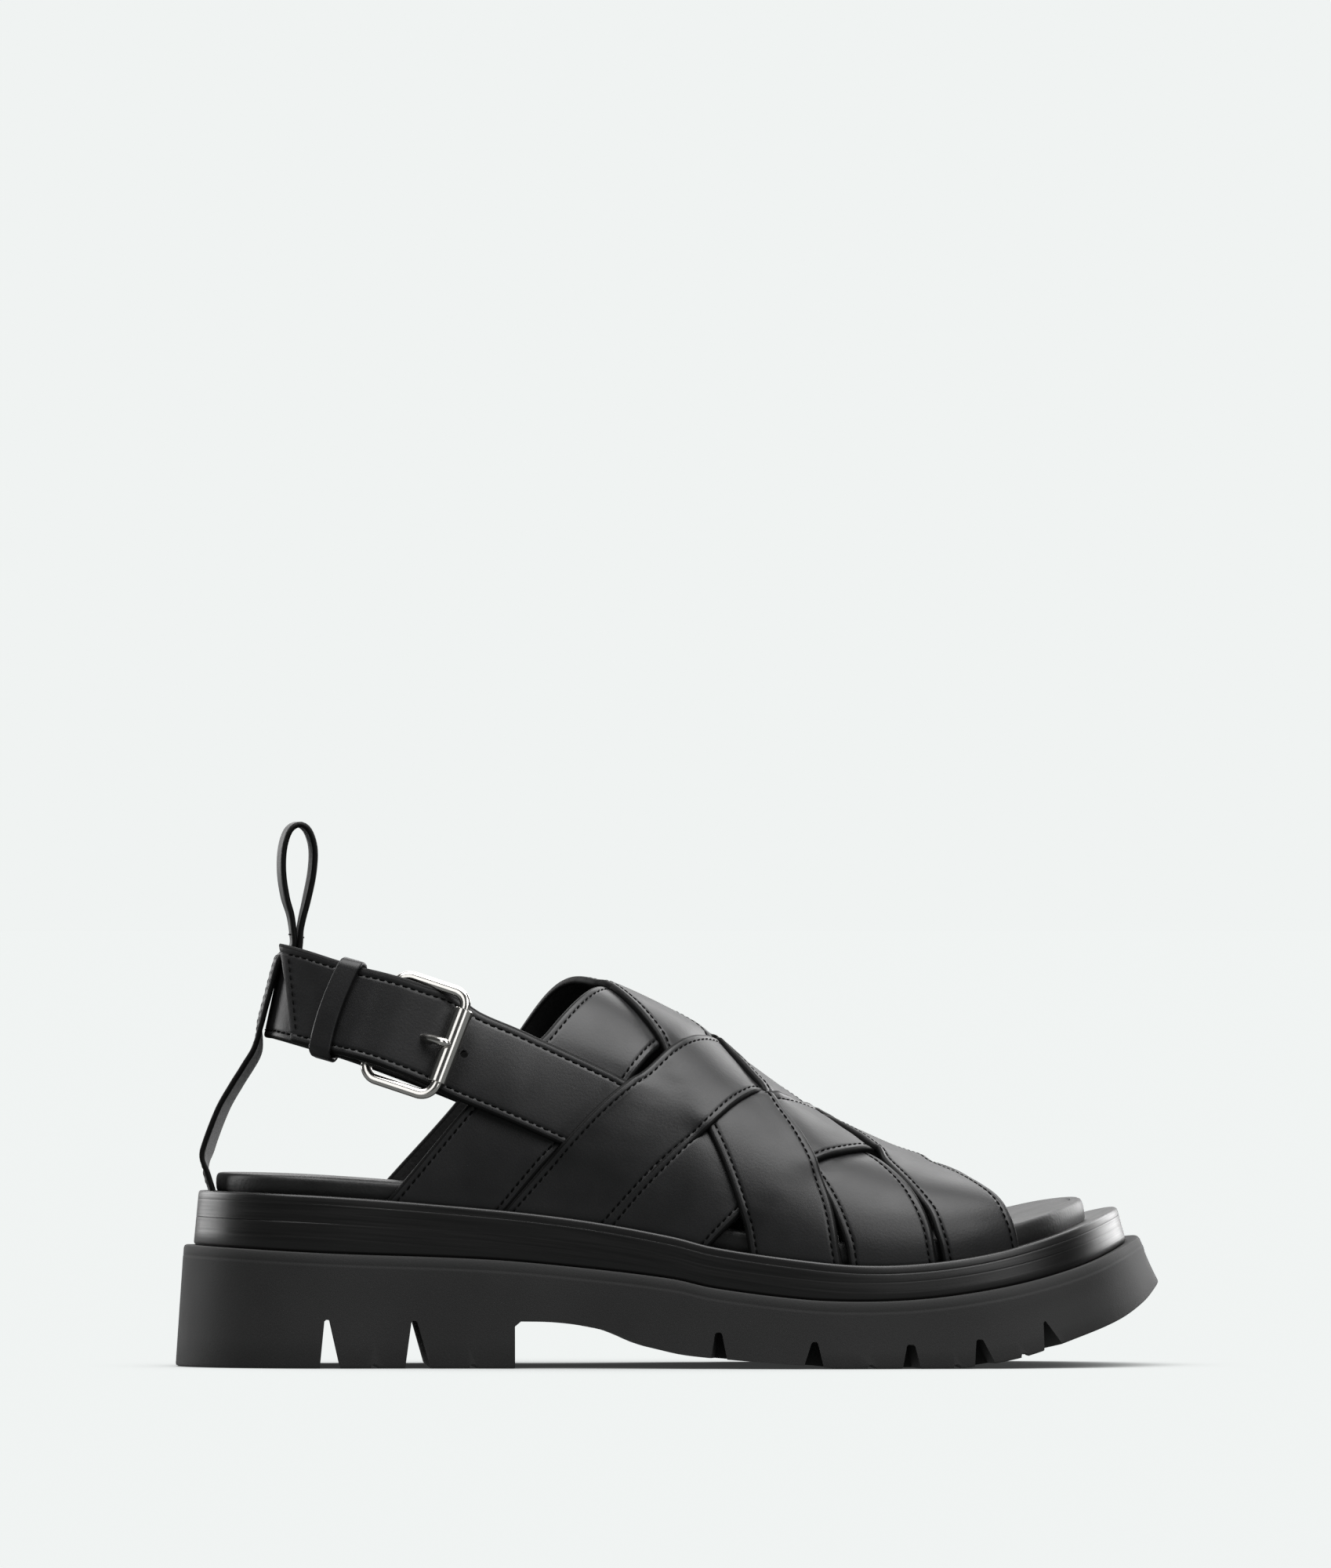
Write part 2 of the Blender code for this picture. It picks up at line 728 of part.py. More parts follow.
def build():
    clear_scene()
    scene = bpy.context.scene
    parts = bpy.data.collections.new("strappy_sandal")
    cutters = bpy.data.collections.new("cutters")
    scene.collection.children.link(parts)
    scene.collection.children.link(cutters)

    rubber = material("rubber", (0.024, 0.024, 0.024), 0.75)
    stacked = material("stacked_leather", (0.010, 0.010, 0.010), 0.4)
    lining = material("footbed_leather", (0.013, 0.013, 0.013), 0.5)
    leather = material("strap_leather", (0.014, 0.014, 0.014), 0.42)
    sling_leather = material("sling_leather", (0.014, 0.014, 0.014), 0.42)
    heel_leather = material("heel_strap_leather", (0.014, 0.014, 0.014), 0.45)
    keeper_leather = material("keeper_leather", (0.014, 0.014, 0.014), 0.42)
    pull_leather = material("pull_leather", (0.018, 0.018, 0.018), 0.5)
    frame_metal = material("frame_metal", (0.78, 0.77, 0.75), 0.12, 1.0)
    roller_metal = material("roller_metal", (0.78, 0.77, 0.75), 0.12, 1.0)
    prong_metal = material("prong_metal", (0.78, 0.77, 0.75), 0.12, 1.0)

    # Outsole: lofted unit, then arch and notches
    foot = outline(OUTSOLE_FOOT, tread)
    top = outline(OUTSOLE_TOP, outsole_top)
    outsole = add_object("outsole", loft("outsole", [foot, top]), parts, rubber)

    side = 90.0
    low = -6.0
    arch = [(x, z) for x, z in ARCH_PROFILE]
    arch_loop = [(arch[0][0], low)] + arch + [(arch[-1][0] + 5.0, 0.05), (arch[-1][0] + 5.0, low)]
    near = [Vector((x, -side, z)) for x, z in arch_loop]
    far = []
    for x, z in arch_loop:
        skew = ARCH_SKEW * ease((x + 30) / 20) * (1 - ease((x - 20) / 25))
        far.append(Vector((x + skew, side, z)))
    cutter = add_object("arch_cutter", prism("arch_cutter", near, far), cutters)
    boolean(outsole, cutter, "DIFFERENCE")
    for number, (foot_a, foot_b, apex_a, apex_b, apex) in enumerate(HEEL_NOTCHES + FOREFOOT_NOTCHES):
        through = number < len(HEEL_NOTCHES)
        slope_a = (apex_a - foot_a) / apex
        slope_b = (foot_b - apex_b) / apex
        loop = [
            (foot_a + slope_a * low, low),
            (apex_a, apex),
            (apex_b, apex),
            (foot_b - slope_b * low, low),
        ]
        if through:
            reaches = [(-side, side)]
        else:
            middle = (foot_a + foot_b) / 2
            lateral = edge_at(grown(LATERAL_EDGE, -1.0, OUTSOLE_FOOT), middle)
            medial = edge_at(grown(MEDIAL_EDGE, 1.0, OUTSOLE_FOOT), middle)
            reaches = [(-side, lateral + NOTCH_DEPTH), (medial - NOTCH_DEPTH, side)]
        for turn, (a, b) in enumerate(reaches):
            name = "notch_%d_%d" % (number, turn)
            left = [Vector((x, a, z)) for x, z in loop]
            right = [Vector((x, b, z)) for x, z in loop]
            cutter = add_object(name, prism(name, left, right), cutters)
            boolean(outsole, cutter, "DIFFERENCE")

    # Midsole: leaning wall with a small rounded top edge
    def above_outsole(along):
        return outsole_top(along) + GAP

    def under_rim(along):
        return midsole_top(along) - 1.2

    inner = tuple(amount - 1.0 for amount in MIDSOLE_TOP)
    rings = [
        outline(MIDSOLE_FOOT, above_outsole),
        outline(MIDSOLE_TOP, under_rim),
        outline(inner, midsole_top),
    ]
    add_object("midsole", loft("midsole", rings), parts, stacked)

    # Footbed: wrapped rim and a shallow dished top
    def rim(along):
        return 5.7 + 1.3 * ease((along + 60) / 150)

    levels = ((0.0, 0.0), (0.0, 0.55), (-0.9, 0.87), (-3.0, 1.0))
    rings = []
    for inset, share in levels:
        amounts = (inset, inset, inset - 1.2 * share)
        rings.append(outline(amounts, lambda x, s=share: midsole_top(x) + GAP + rim(x) * s))

    def dish(along):
        return 1.8 - 1.2 * ease((along + 40) / 90)

    add_object("footbed", loft("footbed", rings, dish), parts, lining)

    # Upper: six woven straps joined into one wall and trimmed to the midsole
    upper = None
    for back_to_front in (True, False):
        for index in range(len(BACK_TO_FRONT)):
            rows = strap_rows(index, back_to_front)
            if upper is None:
                upper = sheet("upper", rows, STRAP_THICKNESS, parts, leather)
            else:
                name = "strap_%s%d" % ("a" if back_to_front else "b", index + 1)
                piece = sheet(name, rows, STRAP_THICKNESS, cutters)
                boolean(upper, piece, "UNION", "MANIFOLD")

    def trim(along):
        return midsole_top(along) + UPPER_CLEAR_OF_MIDSOLE

    wide = (14.0, 14.0, 14.0)
    rings = [outline(wide, lambda x: midsole_top(x) - 30.0), outline(wide, trim)]
    cutter = add_object("upper_trim", loft("upper_trim", rings), cutters)
    boolean(upper, cutter, "DIFFERENCE", "MANIFOLD")

    # Heel strap: from the medial straps round the heel to a fold round the buckle's bar
    bar_part = sling_part(BAR_ALONG)
    fold_start = sling_part(BAR_ALONG - 1.6)
    medial_end = {}

    def heel_end(across):
        if across not in medial_end:
            medial_end[across] = sling_end(across, 1.0)
        return medial_end[across]

    rows = sling_rows(lambda v: fold_start, heel_end, lambda part: 0.0, 56)
    heel_strap = sheet("heel_strap", rows, STRAP_THICKNESS, parts, heel_leather)
    place, ahead, up, outward = sling_frame(bar_part, 0.0)
    ahead = (ahead - up * ahead.dot(up)).normalized()
    outward = ahead.cross(up).normalized()
    if outward.y > 0:
        outward = -outward
    bar = place + outward * BAR_LIFT
    fold_outer = BUCKLE_WIRE / 2 + GAP + 1.3
    half = SLING_WIDTH / 2
    fold_half = half - 0.7
    ends = [bar - up * fold_half, bar + up * fold_half]
    fold = tube("fold", ends, fold_outer * 2, False, cutters, None)
    boolean(heel_strap, fold, "UNION", "MANIFOLD")
    bore_size = BUCKLE_WIRE + 2 * GAP
    bore = tube("fold_bore", [bar - up * 40, bar + up * 40], bore_size, False, cutters, None)
    boolean(heel_strap, bore, "DIFFERENCE", "MANIFOLD")
    slot_size = PRONG_DIAMETER + 3.4
    slot_corner = []
    for a, b in ((-4.4, -5.0), (6.0, -5.0), (6.0, 6.0), (-4.4, 6.0)):
        slot_corner.append(bar - ahead * a + outward * b)
    left = [p - up * slot_size / 2 for p in slot_corner]
    right = [p + up * slot_size / 2 for p in slot_corner]
    cutter = add_object("prong_slot", prism("prong_slot", left, right), cutters)
    boolean(heel_strap, cutter, "DIFFERENCE", "MANIFOLD")

    # Buckle strap: from under the upper's second strap, through the buckle, to the cut tip
    lateral_end = {}

    def billet_start(across):
        if across not in lateral_end:
            lateral_end[across] = sling_end(across, -1.0)
        return lateral_end[across]

    tip = sling_part(TIP_ALONG + 2.0)
    length_of_part = sum((b - a).length for a, b in zip(SLING, SLING[1:]))

    def billet_end(across):
        return tip - TIP_SLANT * (0.5 - across / SLING_WIDTH) / length_of_part

    rows = sling_rows(billet_start, billet_end, billet_lift, 56)
    billet = sheet("buckle_strap", rows, STRAP_THICKNESS, parts, sling_leather)
    roller_part = sling_part(ROLLER_ALONG)
    place, roller_ahead, roller_up, roller_out = sling_frame(roller_part, 0.0)
    roller_axis_middle = place + roller_out * ROLLER_LIFT
    hole_part = sling_part((ROLLER_ALONG + BAR_ALONG) / 2 + 0.5)
    place, hole_ahead, hole_up, hole_out = sling_frame(hole_part, 0.0)
    hole_middle = place + hole_out * billet_lift(hole_part)
    corners = []
    hole_long, hole_wide = PRONG_HOLE
    for a, b in ((-0.5, -0.5), (0.5, -0.5), (0.5, 0.5), (-0.5, 0.5)):
        corners.append(hole_middle + hole_ahead * a * hole_long + hole_up * b * hole_wide)
    left = [p - hole_out * 8 for p in corners]
    right = [p + hole_out * 8 for p in corners]
    cutter = add_object("prong_hole", prism("prong_hole", left, right), cutters)
    boolean(billet, cutter, "DIFFERENCE")

    # Buckle frame: rounded rectangle through the bar and the roller's axis
    frame_ahead = (bar - roller_axis_middle).normalized()
    frame_up = (up - frame_ahead * up.dot(frame_ahead)).normalized()
    frame_middle = (bar + roller_axis_middle) / 2
    half_long = (bar - roller_axis_middle).length / 2
    half_wide = (BUCKLE_WIDTH - BUCKLE_WIRE) / 2
    corner = 3.4
    path = []
    for quarter, (sx, sy) in enumerate(((1, 1), (-1, 1), (-1, -1), (1, -1))):
        for step in range(5):
            turn = math.radians(90 * quarter + 22.5 * step)
            a = sx * (half_long - corner) + corner * math.cos(turn)
            b = sy * (half_wide - corner) + corner * math.sin(turn)
            path.append(frame_middle + frame_ahead * a + frame_up * b)
    tube("buckle_frame", path, BUCKLE_WIRE, True, parts, frame_metal, 1)

    # Roller: tube that turns on the front bar
    half = ROLLER_LENGTH / 2
    ends = [roller_axis_middle - frame_up * half, roller_axis_middle + frame_up * half]
    roller = tube("buckle_roller", ends, ROLLER_DIAMETER, False, parts, roller_metal, 4)
    longer = [roller_axis_middle - frame_up * (half + 3), roller_axis_middle + frame_up * (half + 3)]
    bore = tube("roller_bore", longer, BUCKLE_WIRE + 2 * GAP, False, cutters, None, 3)
    boolean(roller, bore, "DIFFERENCE")

    # Prong: eye round the rear bar, shaft through the strap, tip on the roller
    frame_out = frame_ahead.cross(frame_up).normalized()
    if frame_out.y > 0:
        frame_out = -frame_out
    toward = -frame_ahead
    eye_radius = BUCKLE_WIRE / 2 + GAP + PRONG_DIAMETER / 2
    rest = ROLLER_DIAMETER / 2 + GAP + PRONG_DIAMETER / 2
    path = []
    for step in range(11):
        turn = math.radians(-40 - 270 * step / 10)
        path.append(bar + toward * eye_radius * math.cos(turn) + frame_out * eye_radius * math.sin(turn))
    reach = 2 * half_long
    path.reverse()
    for a, b in ((0.34, -0.6), (0.6, 0.9), (0.82, 2.6), (1.0, rest), (1.12, rest - 0.1)):
        path.append(bar + toward * reach * a + frame_out * b)
    tube("buckle_prong", path, PRONG_DIAMETER, False, parts, prong_metal, 1)

    # Keeper: band round both sling straps
    bm = bmesh.new()
    keeper_part = sling_part(KEEPER_ALONG)
    inner_low = -STRAP_THICKNESS / 2 - 0.4
    inner_high = BILLET_ON_STRAP + STRAP_THICKNESS / 2 + 0.4
    inner_half = SLING_WIDTH / 2 + 0.6
    middle_lift = (inner_low + inner_high) / 2
    loops = []
    for end in (-0.5, 0.5):
        part = keeper_part + end * KEEPER_WIDTH / length_of_part
        for grow in (0.0, KEEPER_WALL):
            loop = []
            deep = (inner_high - inner_low) / 2 + grow
            wide_half = inner_half + grow
            steps = 6
            for face, sign in ((1, 1), (-1, -1)):
                for k in range(steps + 1):
                    across = sign * wide_half * (1 - 2 * k / steps)
                    reach_in = deep - (0.8 if grow and k in (0, steps) else 0.0)
                    clamped = min(max(across, -half), half)
                    place, _, keeper_up, keeper_out = sling_frame(part, clamped)
                    place = place + keeper_up * (across - clamped)
                    loop.append(bm.verts.new(place + keeper_out * (middle_lift + face * reach_in)))
            loops.append(loop)
    inner_a, outer_a, inner_b, outer_b = loops
    count = len(inner_a)
    for i in range(count):
        j = (i + 1) % count
        bm.faces.new((outer_a[i], outer_a[j], outer_b[j], outer_b[i]))
        bm.faces.new((inner_a[i], inner_b[i], inner_b[j], inner_a[j]))
        bm.faces.new((inner_a[i], inner_a[j], outer_a[j], outer_a[i]))
        bm.faces.new((inner_b[i], outer_b[i], outer_b[j], inner_b[j]))
    add_object("keeper", finish_mesh("keeper", bm), parts, keeper_leather)

    # Pull strap: strip up the back, over the pull loop and down inside the heel strap
    line = smooth_path([Vector((x, 0.0, z)) for x, z in PULL_PATH], 84)
    rows = []
    for place in line:
        rows.append([place + Vector((0.0, PULL_WIDTH * (k / 2 - 0.5), 0.0)) for k in range(3)])
    sheet("pull_strap", rows, PULL_THICKNESS, parts, pull_leather)


build()
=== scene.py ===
# %% [markdown]
# Strappy sandal for the right foot: black leather straps woven over a footbed, a stacked
# leather midsole, a lugged rubber outsole, and a heel sling that closes with a roller buckle.
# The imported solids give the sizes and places, to within a few millimetres.

import math

import bpy
import numpy as np
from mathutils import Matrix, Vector
from mathutils.kdtree import KDTree


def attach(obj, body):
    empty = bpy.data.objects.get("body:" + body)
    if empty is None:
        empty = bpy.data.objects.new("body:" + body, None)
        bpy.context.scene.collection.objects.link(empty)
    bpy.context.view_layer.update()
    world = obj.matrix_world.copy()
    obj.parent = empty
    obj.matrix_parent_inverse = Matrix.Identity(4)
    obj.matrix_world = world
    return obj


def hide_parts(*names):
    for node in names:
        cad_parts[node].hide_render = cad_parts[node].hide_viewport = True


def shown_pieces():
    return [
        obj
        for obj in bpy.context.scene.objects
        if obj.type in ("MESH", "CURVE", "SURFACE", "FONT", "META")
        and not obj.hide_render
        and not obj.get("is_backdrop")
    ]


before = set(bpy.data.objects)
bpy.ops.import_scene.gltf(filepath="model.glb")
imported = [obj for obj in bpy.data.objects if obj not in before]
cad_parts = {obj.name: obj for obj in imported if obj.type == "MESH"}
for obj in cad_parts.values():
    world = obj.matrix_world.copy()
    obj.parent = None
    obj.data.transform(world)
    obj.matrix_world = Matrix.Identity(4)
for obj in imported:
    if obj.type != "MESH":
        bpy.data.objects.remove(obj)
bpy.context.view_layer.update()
bpy.ops.object.select_all(action="DESELECT")
MM = 0.001
print("frame nodes:", sorted(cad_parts))

# %% [markdown]
# The camera stands eight metres off with a long lens, level with the top of the pull loop and a
# little towards the heel, so that the shoe is seen almost flat from its outer side.

# %% Camera
CAMERA_PLACE = (-0.4601, -7.9867, 0.168)
CAMERA_TILT_DEG = 90.0685
CAMERA_TURN_DEG = -3.3
SENSOR_MM = 36.0
LENS_MM = 600.7
bpy.ops.object.camera_add(
    location=CAMERA_PLACE,
    rotation=(math.radians(CAMERA_TILT_DEG), 0.0, math.radians(CAMERA_TURN_DEG)),
)
camera = bpy.context.object
camera.name = "camera"
camera.data.sensor_width = SENSOR_MM
camera.data.lens = LENS_MM
bpy.context.scene.camera = camera
print("camera lens:", camera.data.lens)

# %% [markdown]
# Colours are written as sRGB hex values and one function turns them into the linear numbers
# that shaders work with. One small function adds a node, sets it and links it.

# %% Colour and node helpers


def linear(code):
    """Linear colour of an sRGB hex value."""
    parts = [int(code[k : k + 2], 16) / 255 for k in (1, 3, 5)]
    spread_out = [c / 12.92 if c <= 0.04045 else ((c + 0.055) / 1.055) ** 2.4 for c in parts]
    return (*spread_out, 1.0)


def add_node(tree, kind, sockets=None, **settings):
    """New node with its settings, and each socket given a value or linked to another node."""
    node = tree.nodes.new(kind)
    for key, value in settings.items():
        setattr(node, key, value)
    for key, value in (sockets or {}).items():
        if isinstance(value, bpy.types.NodeSocket):
            tree.links.new(value, node.inputs[key])
        else:
            node.inputs[key].default_value = value
    return node


def new_finish(name):
    """Empty material with its node tree, its shader and its object coordinates."""
    finish = bpy.data.materials.new(name)
    finish.use_nodes = True
    tree = finish.node_tree
    shader = tree.nodes["Principled BSDF"]
    place = add_node(tree, "ShaderNodeTexCoord").outputs["Object"]
    return finish, tree, shader, place


print("black of the straps, linear:", [round(c, 4) for c in linear("#121213")])

# %% [markdown]
# Smooth calf leather is dyed through and lightly waxed. The eye sees an almost plain black
# with a soft broad shine, and only where light grazes it does the fine pore grain show. The
# grain is cells about 0.7 mm across, a little coarser than real calf so that it shows, with
# creases between them, as a shallow bump. The lining and the footbed's cover are leather too,
# coarser and duller, so one function makes all three.

# %% Strap leather


def leather_finish(name, colour, lit_colour, roughness, grain_mm, grain_depth, coat):
    finish, tree, shader, place = new_finish(name)
    cells = add_node(
        tree,
        "ShaderNodeTexVoronoi",
        {"Vector": place, "Scale": 1 / (grain_mm * MM), "Randomness": 1.0},
        feature="SMOOTH_F1",
    )
    creases = add_node(
        tree,
        "ShaderNodeTexNoise",
        {"Vector": place, "Scale": 1 / (grain_mm * 2.2 * MM), "Detail": 4.0, "Roughness": 0.6},
    )
    relief = add_node(
        tree,
        "ShaderNodeMath",
        {0: cells.outputs["Distance"], 1: creases.outputs["Fac"]},
        operation="ADD",
    )
    bump = add_node(
        tree,
        "ShaderNodeBump",
        {"Height": relief.outputs[0], "Strength": grain_depth, "Distance": 0.12 * MM},
    )
    tree.links.new(bump.outputs["Normal"], shader.inputs["Normal"])
    cloud = add_node(
        tree,
        "ShaderNodeTexNoise",
        {"Vector": place, "Scale": 1 / (14 * MM), "Detail": 3.0},
    )
    tone = add_node(tree, "ShaderNodeValToRGB", {"Fac": cloud.outputs["Fac"]})
    tone.color_ramp.elements[0].position = 0.3
    tone.color_ramp.elements[0].color = linear(colour)
    tone.color_ramp.elements[1].position = 0.75
    tone.color_ramp.elements[1].color = linear(lit_colour)
    tree.links.new(tone.outputs["Color"], shader.inputs["Base Color"])
    gloss = add_node(
        tree,
        "ShaderNodeMapRange",
        {
            "Value": cloud.outputs["Fac"],
            "From Min": 0.3,
            "From Max": 0.7,
            "To Min": roughness - 0.04,
            "To Max": roughness + 0.05,
        },
    )
    tree.links.new(gloss.outputs["Result"], shader.inputs["Roughness"])
    shader.inputs["IOR"].default_value = 1.48
    shader.inputs["Coat Weight"].default_value = coat
    shader.inputs["Coat Roughness"].default_value = 0.32
    return finish


smooth_calf = leather_finish("smooth_calf", "#121213", "#171718", 0.45, 0.7, 0.22, 0.1)
lining_leather = leather_finish("lining_leather", "#101010", "#181818", 0.55, 1.1, 0.7, 0.0)
footbed_hide = leather_finish("footbed_hide", "#121212", "#181818", 0.46, 1.0, 0.4, 0.05)
print("leathers:", smooth_calf.name, lining_leather.name, footbed_hide.name)

# %% [markdown]
# The cut edges of the straps are painted with a thick black edge dressing that dries rounded
# and a little uneven. It is darker and duller than the leather, so every edge reads as a dark
# line. The sewing thread is a bonded twisted cord, black and without shine, whose twist shows
# as slanting ridges.

# %% Edge paint and thread


def edge_paint_finish():
    finish, tree, shader, place = new_finish("edge_paint")
    ripple = add_node(
        tree,
        "ShaderNodeTexNoise",
        {"Vector": place, "Scale": 1 / (1.6 * MM), "Detail": 3.0},
    )
    bump = add_node(
        tree,
        "ShaderNodeBump",
        {"Height": ripple.outputs["Fac"], "Strength": 0.35, "Distance": 0.15 * MM},
    )
    tree.links.new(bump.outputs["Normal"], shader.inputs["Normal"])
    gloss = add_node(
        tree,
        "ShaderNodeMapRange",
        {"Value": ripple.outputs["Fac"], "To Min": 0.46, "To Max": 0.62},
    )
    tree.links.new(gloss.outputs["Result"], shader.inputs["Roughness"])
    shader.inputs["Base Color"].default_value = linear("#0a0a0a")
    shader.inputs["Specular IOR Level"].default_value = 0.18
    return finish


def thread_finish():
    finish, tree, shader, place = new_finish("bonded_thread")
    twist = add_node(
        tree,
        "ShaderNodeTexWave",
        {"Vector": place, "Scale": 1 / (0.5 * MM * 6.28), "Distortion": 1.0},
        bands_direction="DIAGONAL",
    )
    bump = add_node(
        tree,
        "ShaderNodeBump",
        {"Height": twist.outputs["Fac"], "Strength": 0.5, "Distance": 0.1 * MM},
    )
    tree.links.new(bump.outputs["Normal"], shader.inputs["Normal"])
    shader.inputs["Base Color"].default_value = linear("#040404")
    shader.inputs["Roughness"].default_value = 0.85
    shader.inputs["Specular IOR Level"].default_value = 0.1
    return finish


edge_paint = edge_paint_finish()
bonded_thread = thread_finish()
print("edges and thread:", edge_paint.name, bonded_thread.name)

# %% [markdown]
# The flesh side of the pull strap is the raw back of the hide, a grey nap of short fibres.

# %% Flesh side


def flesh_finish():
    finish, tree, shader, place = new_finish("flesh_side")
    nap = add_node(
        tree,
        "ShaderNodeTexNoise",
        {"Vector": place, "Scale": 1 / (0.7 * MM), "Detail": 6.0, "Roughness": 0.75},
    )
    tone = add_node(tree, "ShaderNodeValToRGB", {"Fac": nap.outputs["Fac"]})
    tone.color_ramp.elements[0].position = 0.32
    tone.color_ramp.elements[0].color = linear("#3a3a3b")
    tone.color_ramp.elements[1].position = 0.72
    tone.color_ramp.elements[1].color = linear("#8d8d8e")
    tree.links.new(tone.outputs["Color"], shader.inputs["Base Color"])
    bump = add_node(
        tree,
        "ShaderNodeBump",
        {"Height": nap.outputs["Fac"], "Strength": 0.9, "Distance": 0.3 * MM},
    )
    tree.links.new(bump.outputs["Normal"], shader.inputs["Normal"])
    shader.inputs["Roughness"].default_value = 0.92
    shader.inputs["Sheen Weight"].default_value = 0.25
    shader.inputs["Sheen Roughness"].default_value = 0.5
    return finish


flesh_side = flesh_finish()
print("flesh side:", flesh_side.name)

# %% [markdown]
# The midsole is layers of sole leather glued together, sanded, dyed and burnished with wax.
# Sanding leaves long streaks along the layers, and the wax gives a satin shine that breaks up
# along them. The streaks are noise stretched to run level: short in height, long in plan.

# %% Stacked leather


def stacked_finish():
    finish, tree, shader, place = new_finish("stacked_leather_burnished")
    plan = add_node(tree, "ShaderNodeSeparateXYZ", {"Vector": place})
    level = add_node(tree, "ShaderNodeAttribute", attribute_name="level")
    layer = add_node(
        tree,
        "ShaderNodeCombineXYZ",
        {"X": plan.outputs["X"], "Y": plan.outputs["Y"], "Z": level.outputs["Fac"]},
    )
    run = add_node(
        tree,
        "ShaderNodeMapping",
        {
            "Vector": layer.outputs["Vector"],
            "Scale": (1 / (45 * MM), 1 / (45 * MM), 1 / (0.7 * MM)),
        },
    )
    streak = add_node(
        tree,
        "ShaderNodeTexNoise",
        {"Vector": run.outputs["Vector"], "Scale": 1.0, "Detail": 5.0, "Roughness": 0.65},
    )
    pores = add_node(
        tree,
        "ShaderNodeTexNoise",
        {"Vector": place, "Scale": 1 / (0.8 * MM), "Detail": 3.0},
    )
    relief = add_node(
        tree,
        "ShaderNodeMath",
        {0: pores.outputs["Fac"], 1: 0.35, 2: streak.outputs["Fac"]},
        operation="MULTIPLY_ADD",
    )
    bump = add_node(
        tree,
        "ShaderNodeBump",
        {"Height": relief.outputs[0], "Strength": 0.16, "Distance": 0.08 * MM},
    )
    tree.links.new(bump.outputs["Normal"], shader.inputs["Normal"])
    tone = add_node(tree, "ShaderNodeValToRGB", {"Fac": streak.outputs["Fac"]})
    tone.color_ramp.elements[0].position = 0.35
    tone.color_ramp.elements[0].color = linear("#090909")
    tone.color_ramp.elements[1].position = 0.75
    tone.color_ramp.elements[1].color = linear("#100f0f")
    tree.links.new(tone.outputs["Color"], shader.inputs["Base Color"])
    gloss = add_node(
        tree,
        "ShaderNodeMapRange",
        {
            "Value": streak.outputs["Fac"],
            "From Min": 0.3,
            "From Max": 0.7,
            "To Min": 0.31,
            "To Max": 0.46,
        },
    )
    tree.links.new(gloss.outputs["Result"], shader.inputs["Roughness"])
    shader.inputs["IOR"].default_value = 1.5
    shader.inputs["Coat Weight"].default_value = 0.15
    shader.inputs["Coat Roughness"].default_value = 0.3
    return finish


stacked_leather = stacked_finish()
print("midsole finish:", stacked_leather.name)

# %% [markdown]
# The outsole is moulded black rubber from a blasted mould: matt, a shade greyer than the
# leather, with a sandy tooth, drawn coarser than the mould's so that it shows, and a few faint
# rubbed patches.

# %% Moulded rubber


def rubber_finish():
    finish, tree, shader, place = new_finish("moulded_rubber")
    tooth = add_node(
        tree,
        "ShaderNodeTexNoise",
        {"Vector": place, "Scale": 1 / (0.6 * MM), "Detail": 4.0, "Roughness": 0.7},
    )
    rubbed = add_node(
        tree,
        "ShaderNodeTexNoise",
        {"Vector": place, "Scale": 1 / (25 * MM), "Detail": 2.0},
    )
    bump = add_node(
        tree,
        "ShaderNodeBump",
        {"Height": tooth.outputs["Fac"], "Strength": 0.35, "Distance": 0.12 * MM},
    )
    tree.links.new(bump.outputs["Normal"], shader.inputs["Normal"])
    tone = add_node(tree, "ShaderNodeValToRGB", {"Fac": rubbed.outputs["Fac"]})
    tone.color_ramp.elements[0].position = 0.3
    tone.color_ramp.elements[0].color = linear("#1f1f1f")
    tone.color_ramp.elements[1].position = 0.75
    tone.color_ramp.elements[1].color = linear("#272727")
    tree.links.new(tone.outputs["Color"], shader.inputs["Base Color"])
    gloss = add_node(
        tree,
        "ShaderNodeMapRange",
        {"Value": rubbed.outputs["Fac"], "To Min": 0.62, "To Max": 0.8},
    )
    tree.links.new(gloss.outputs["Result"], shader.inputs["Roughness"])
    shader.inputs["IOR"].default_value = 1.48
    return finish


moulded_rubber = rubber_finish()
print("outsole finish:", moulded_rubber.name)

# %% [markdown]
# The buckle is brass with a polished nickel plate. A mirror metal takes its look from
# what it reflects, so it keeps the default IOR and only a trace of fine polishing lines.

# %% Polished nickel


def nickel_finish():
    finish, tree, shader, place = new_finish("polished_nickel")
    lines = add_node(
        tree,
        "ShaderNodeTexNoise",
        {"Vector": place, "Scale": 1 / (0.9 * MM), "Detail": 3.0},
    )
    gloss = add_node(
        tree,
        "ShaderNodeMapRange",
        {"Value": lines.outputs["Fac"], "To Min": 0.1, "To Max": 0.2},
    )
    tree.links.new(gloss.outputs["Result"], shader.inputs["Roughness"])
    shader.inputs["Base Color"].default_value = linear("#d4d2ce")
    shader.inputs["Metallic"].default_value = 1.0
    return finish


polished_nickel = nickel_finish()
print("buckle finish:", polished_nickel.name)

# %% [markdown]
# The sole's plan and side profiles are short tables, in millimetres, nearly the same as those
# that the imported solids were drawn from. Small helpers read them smoothly. Where a size changes
# along the shoe, its blend is written as the place where the change begins and its length.

# %% Tables and smooth curves
FOOTBED_HEEL = -137.0
FOOTBED_TOE = 129.4
TOE_TIP_OFFSET = 5.0
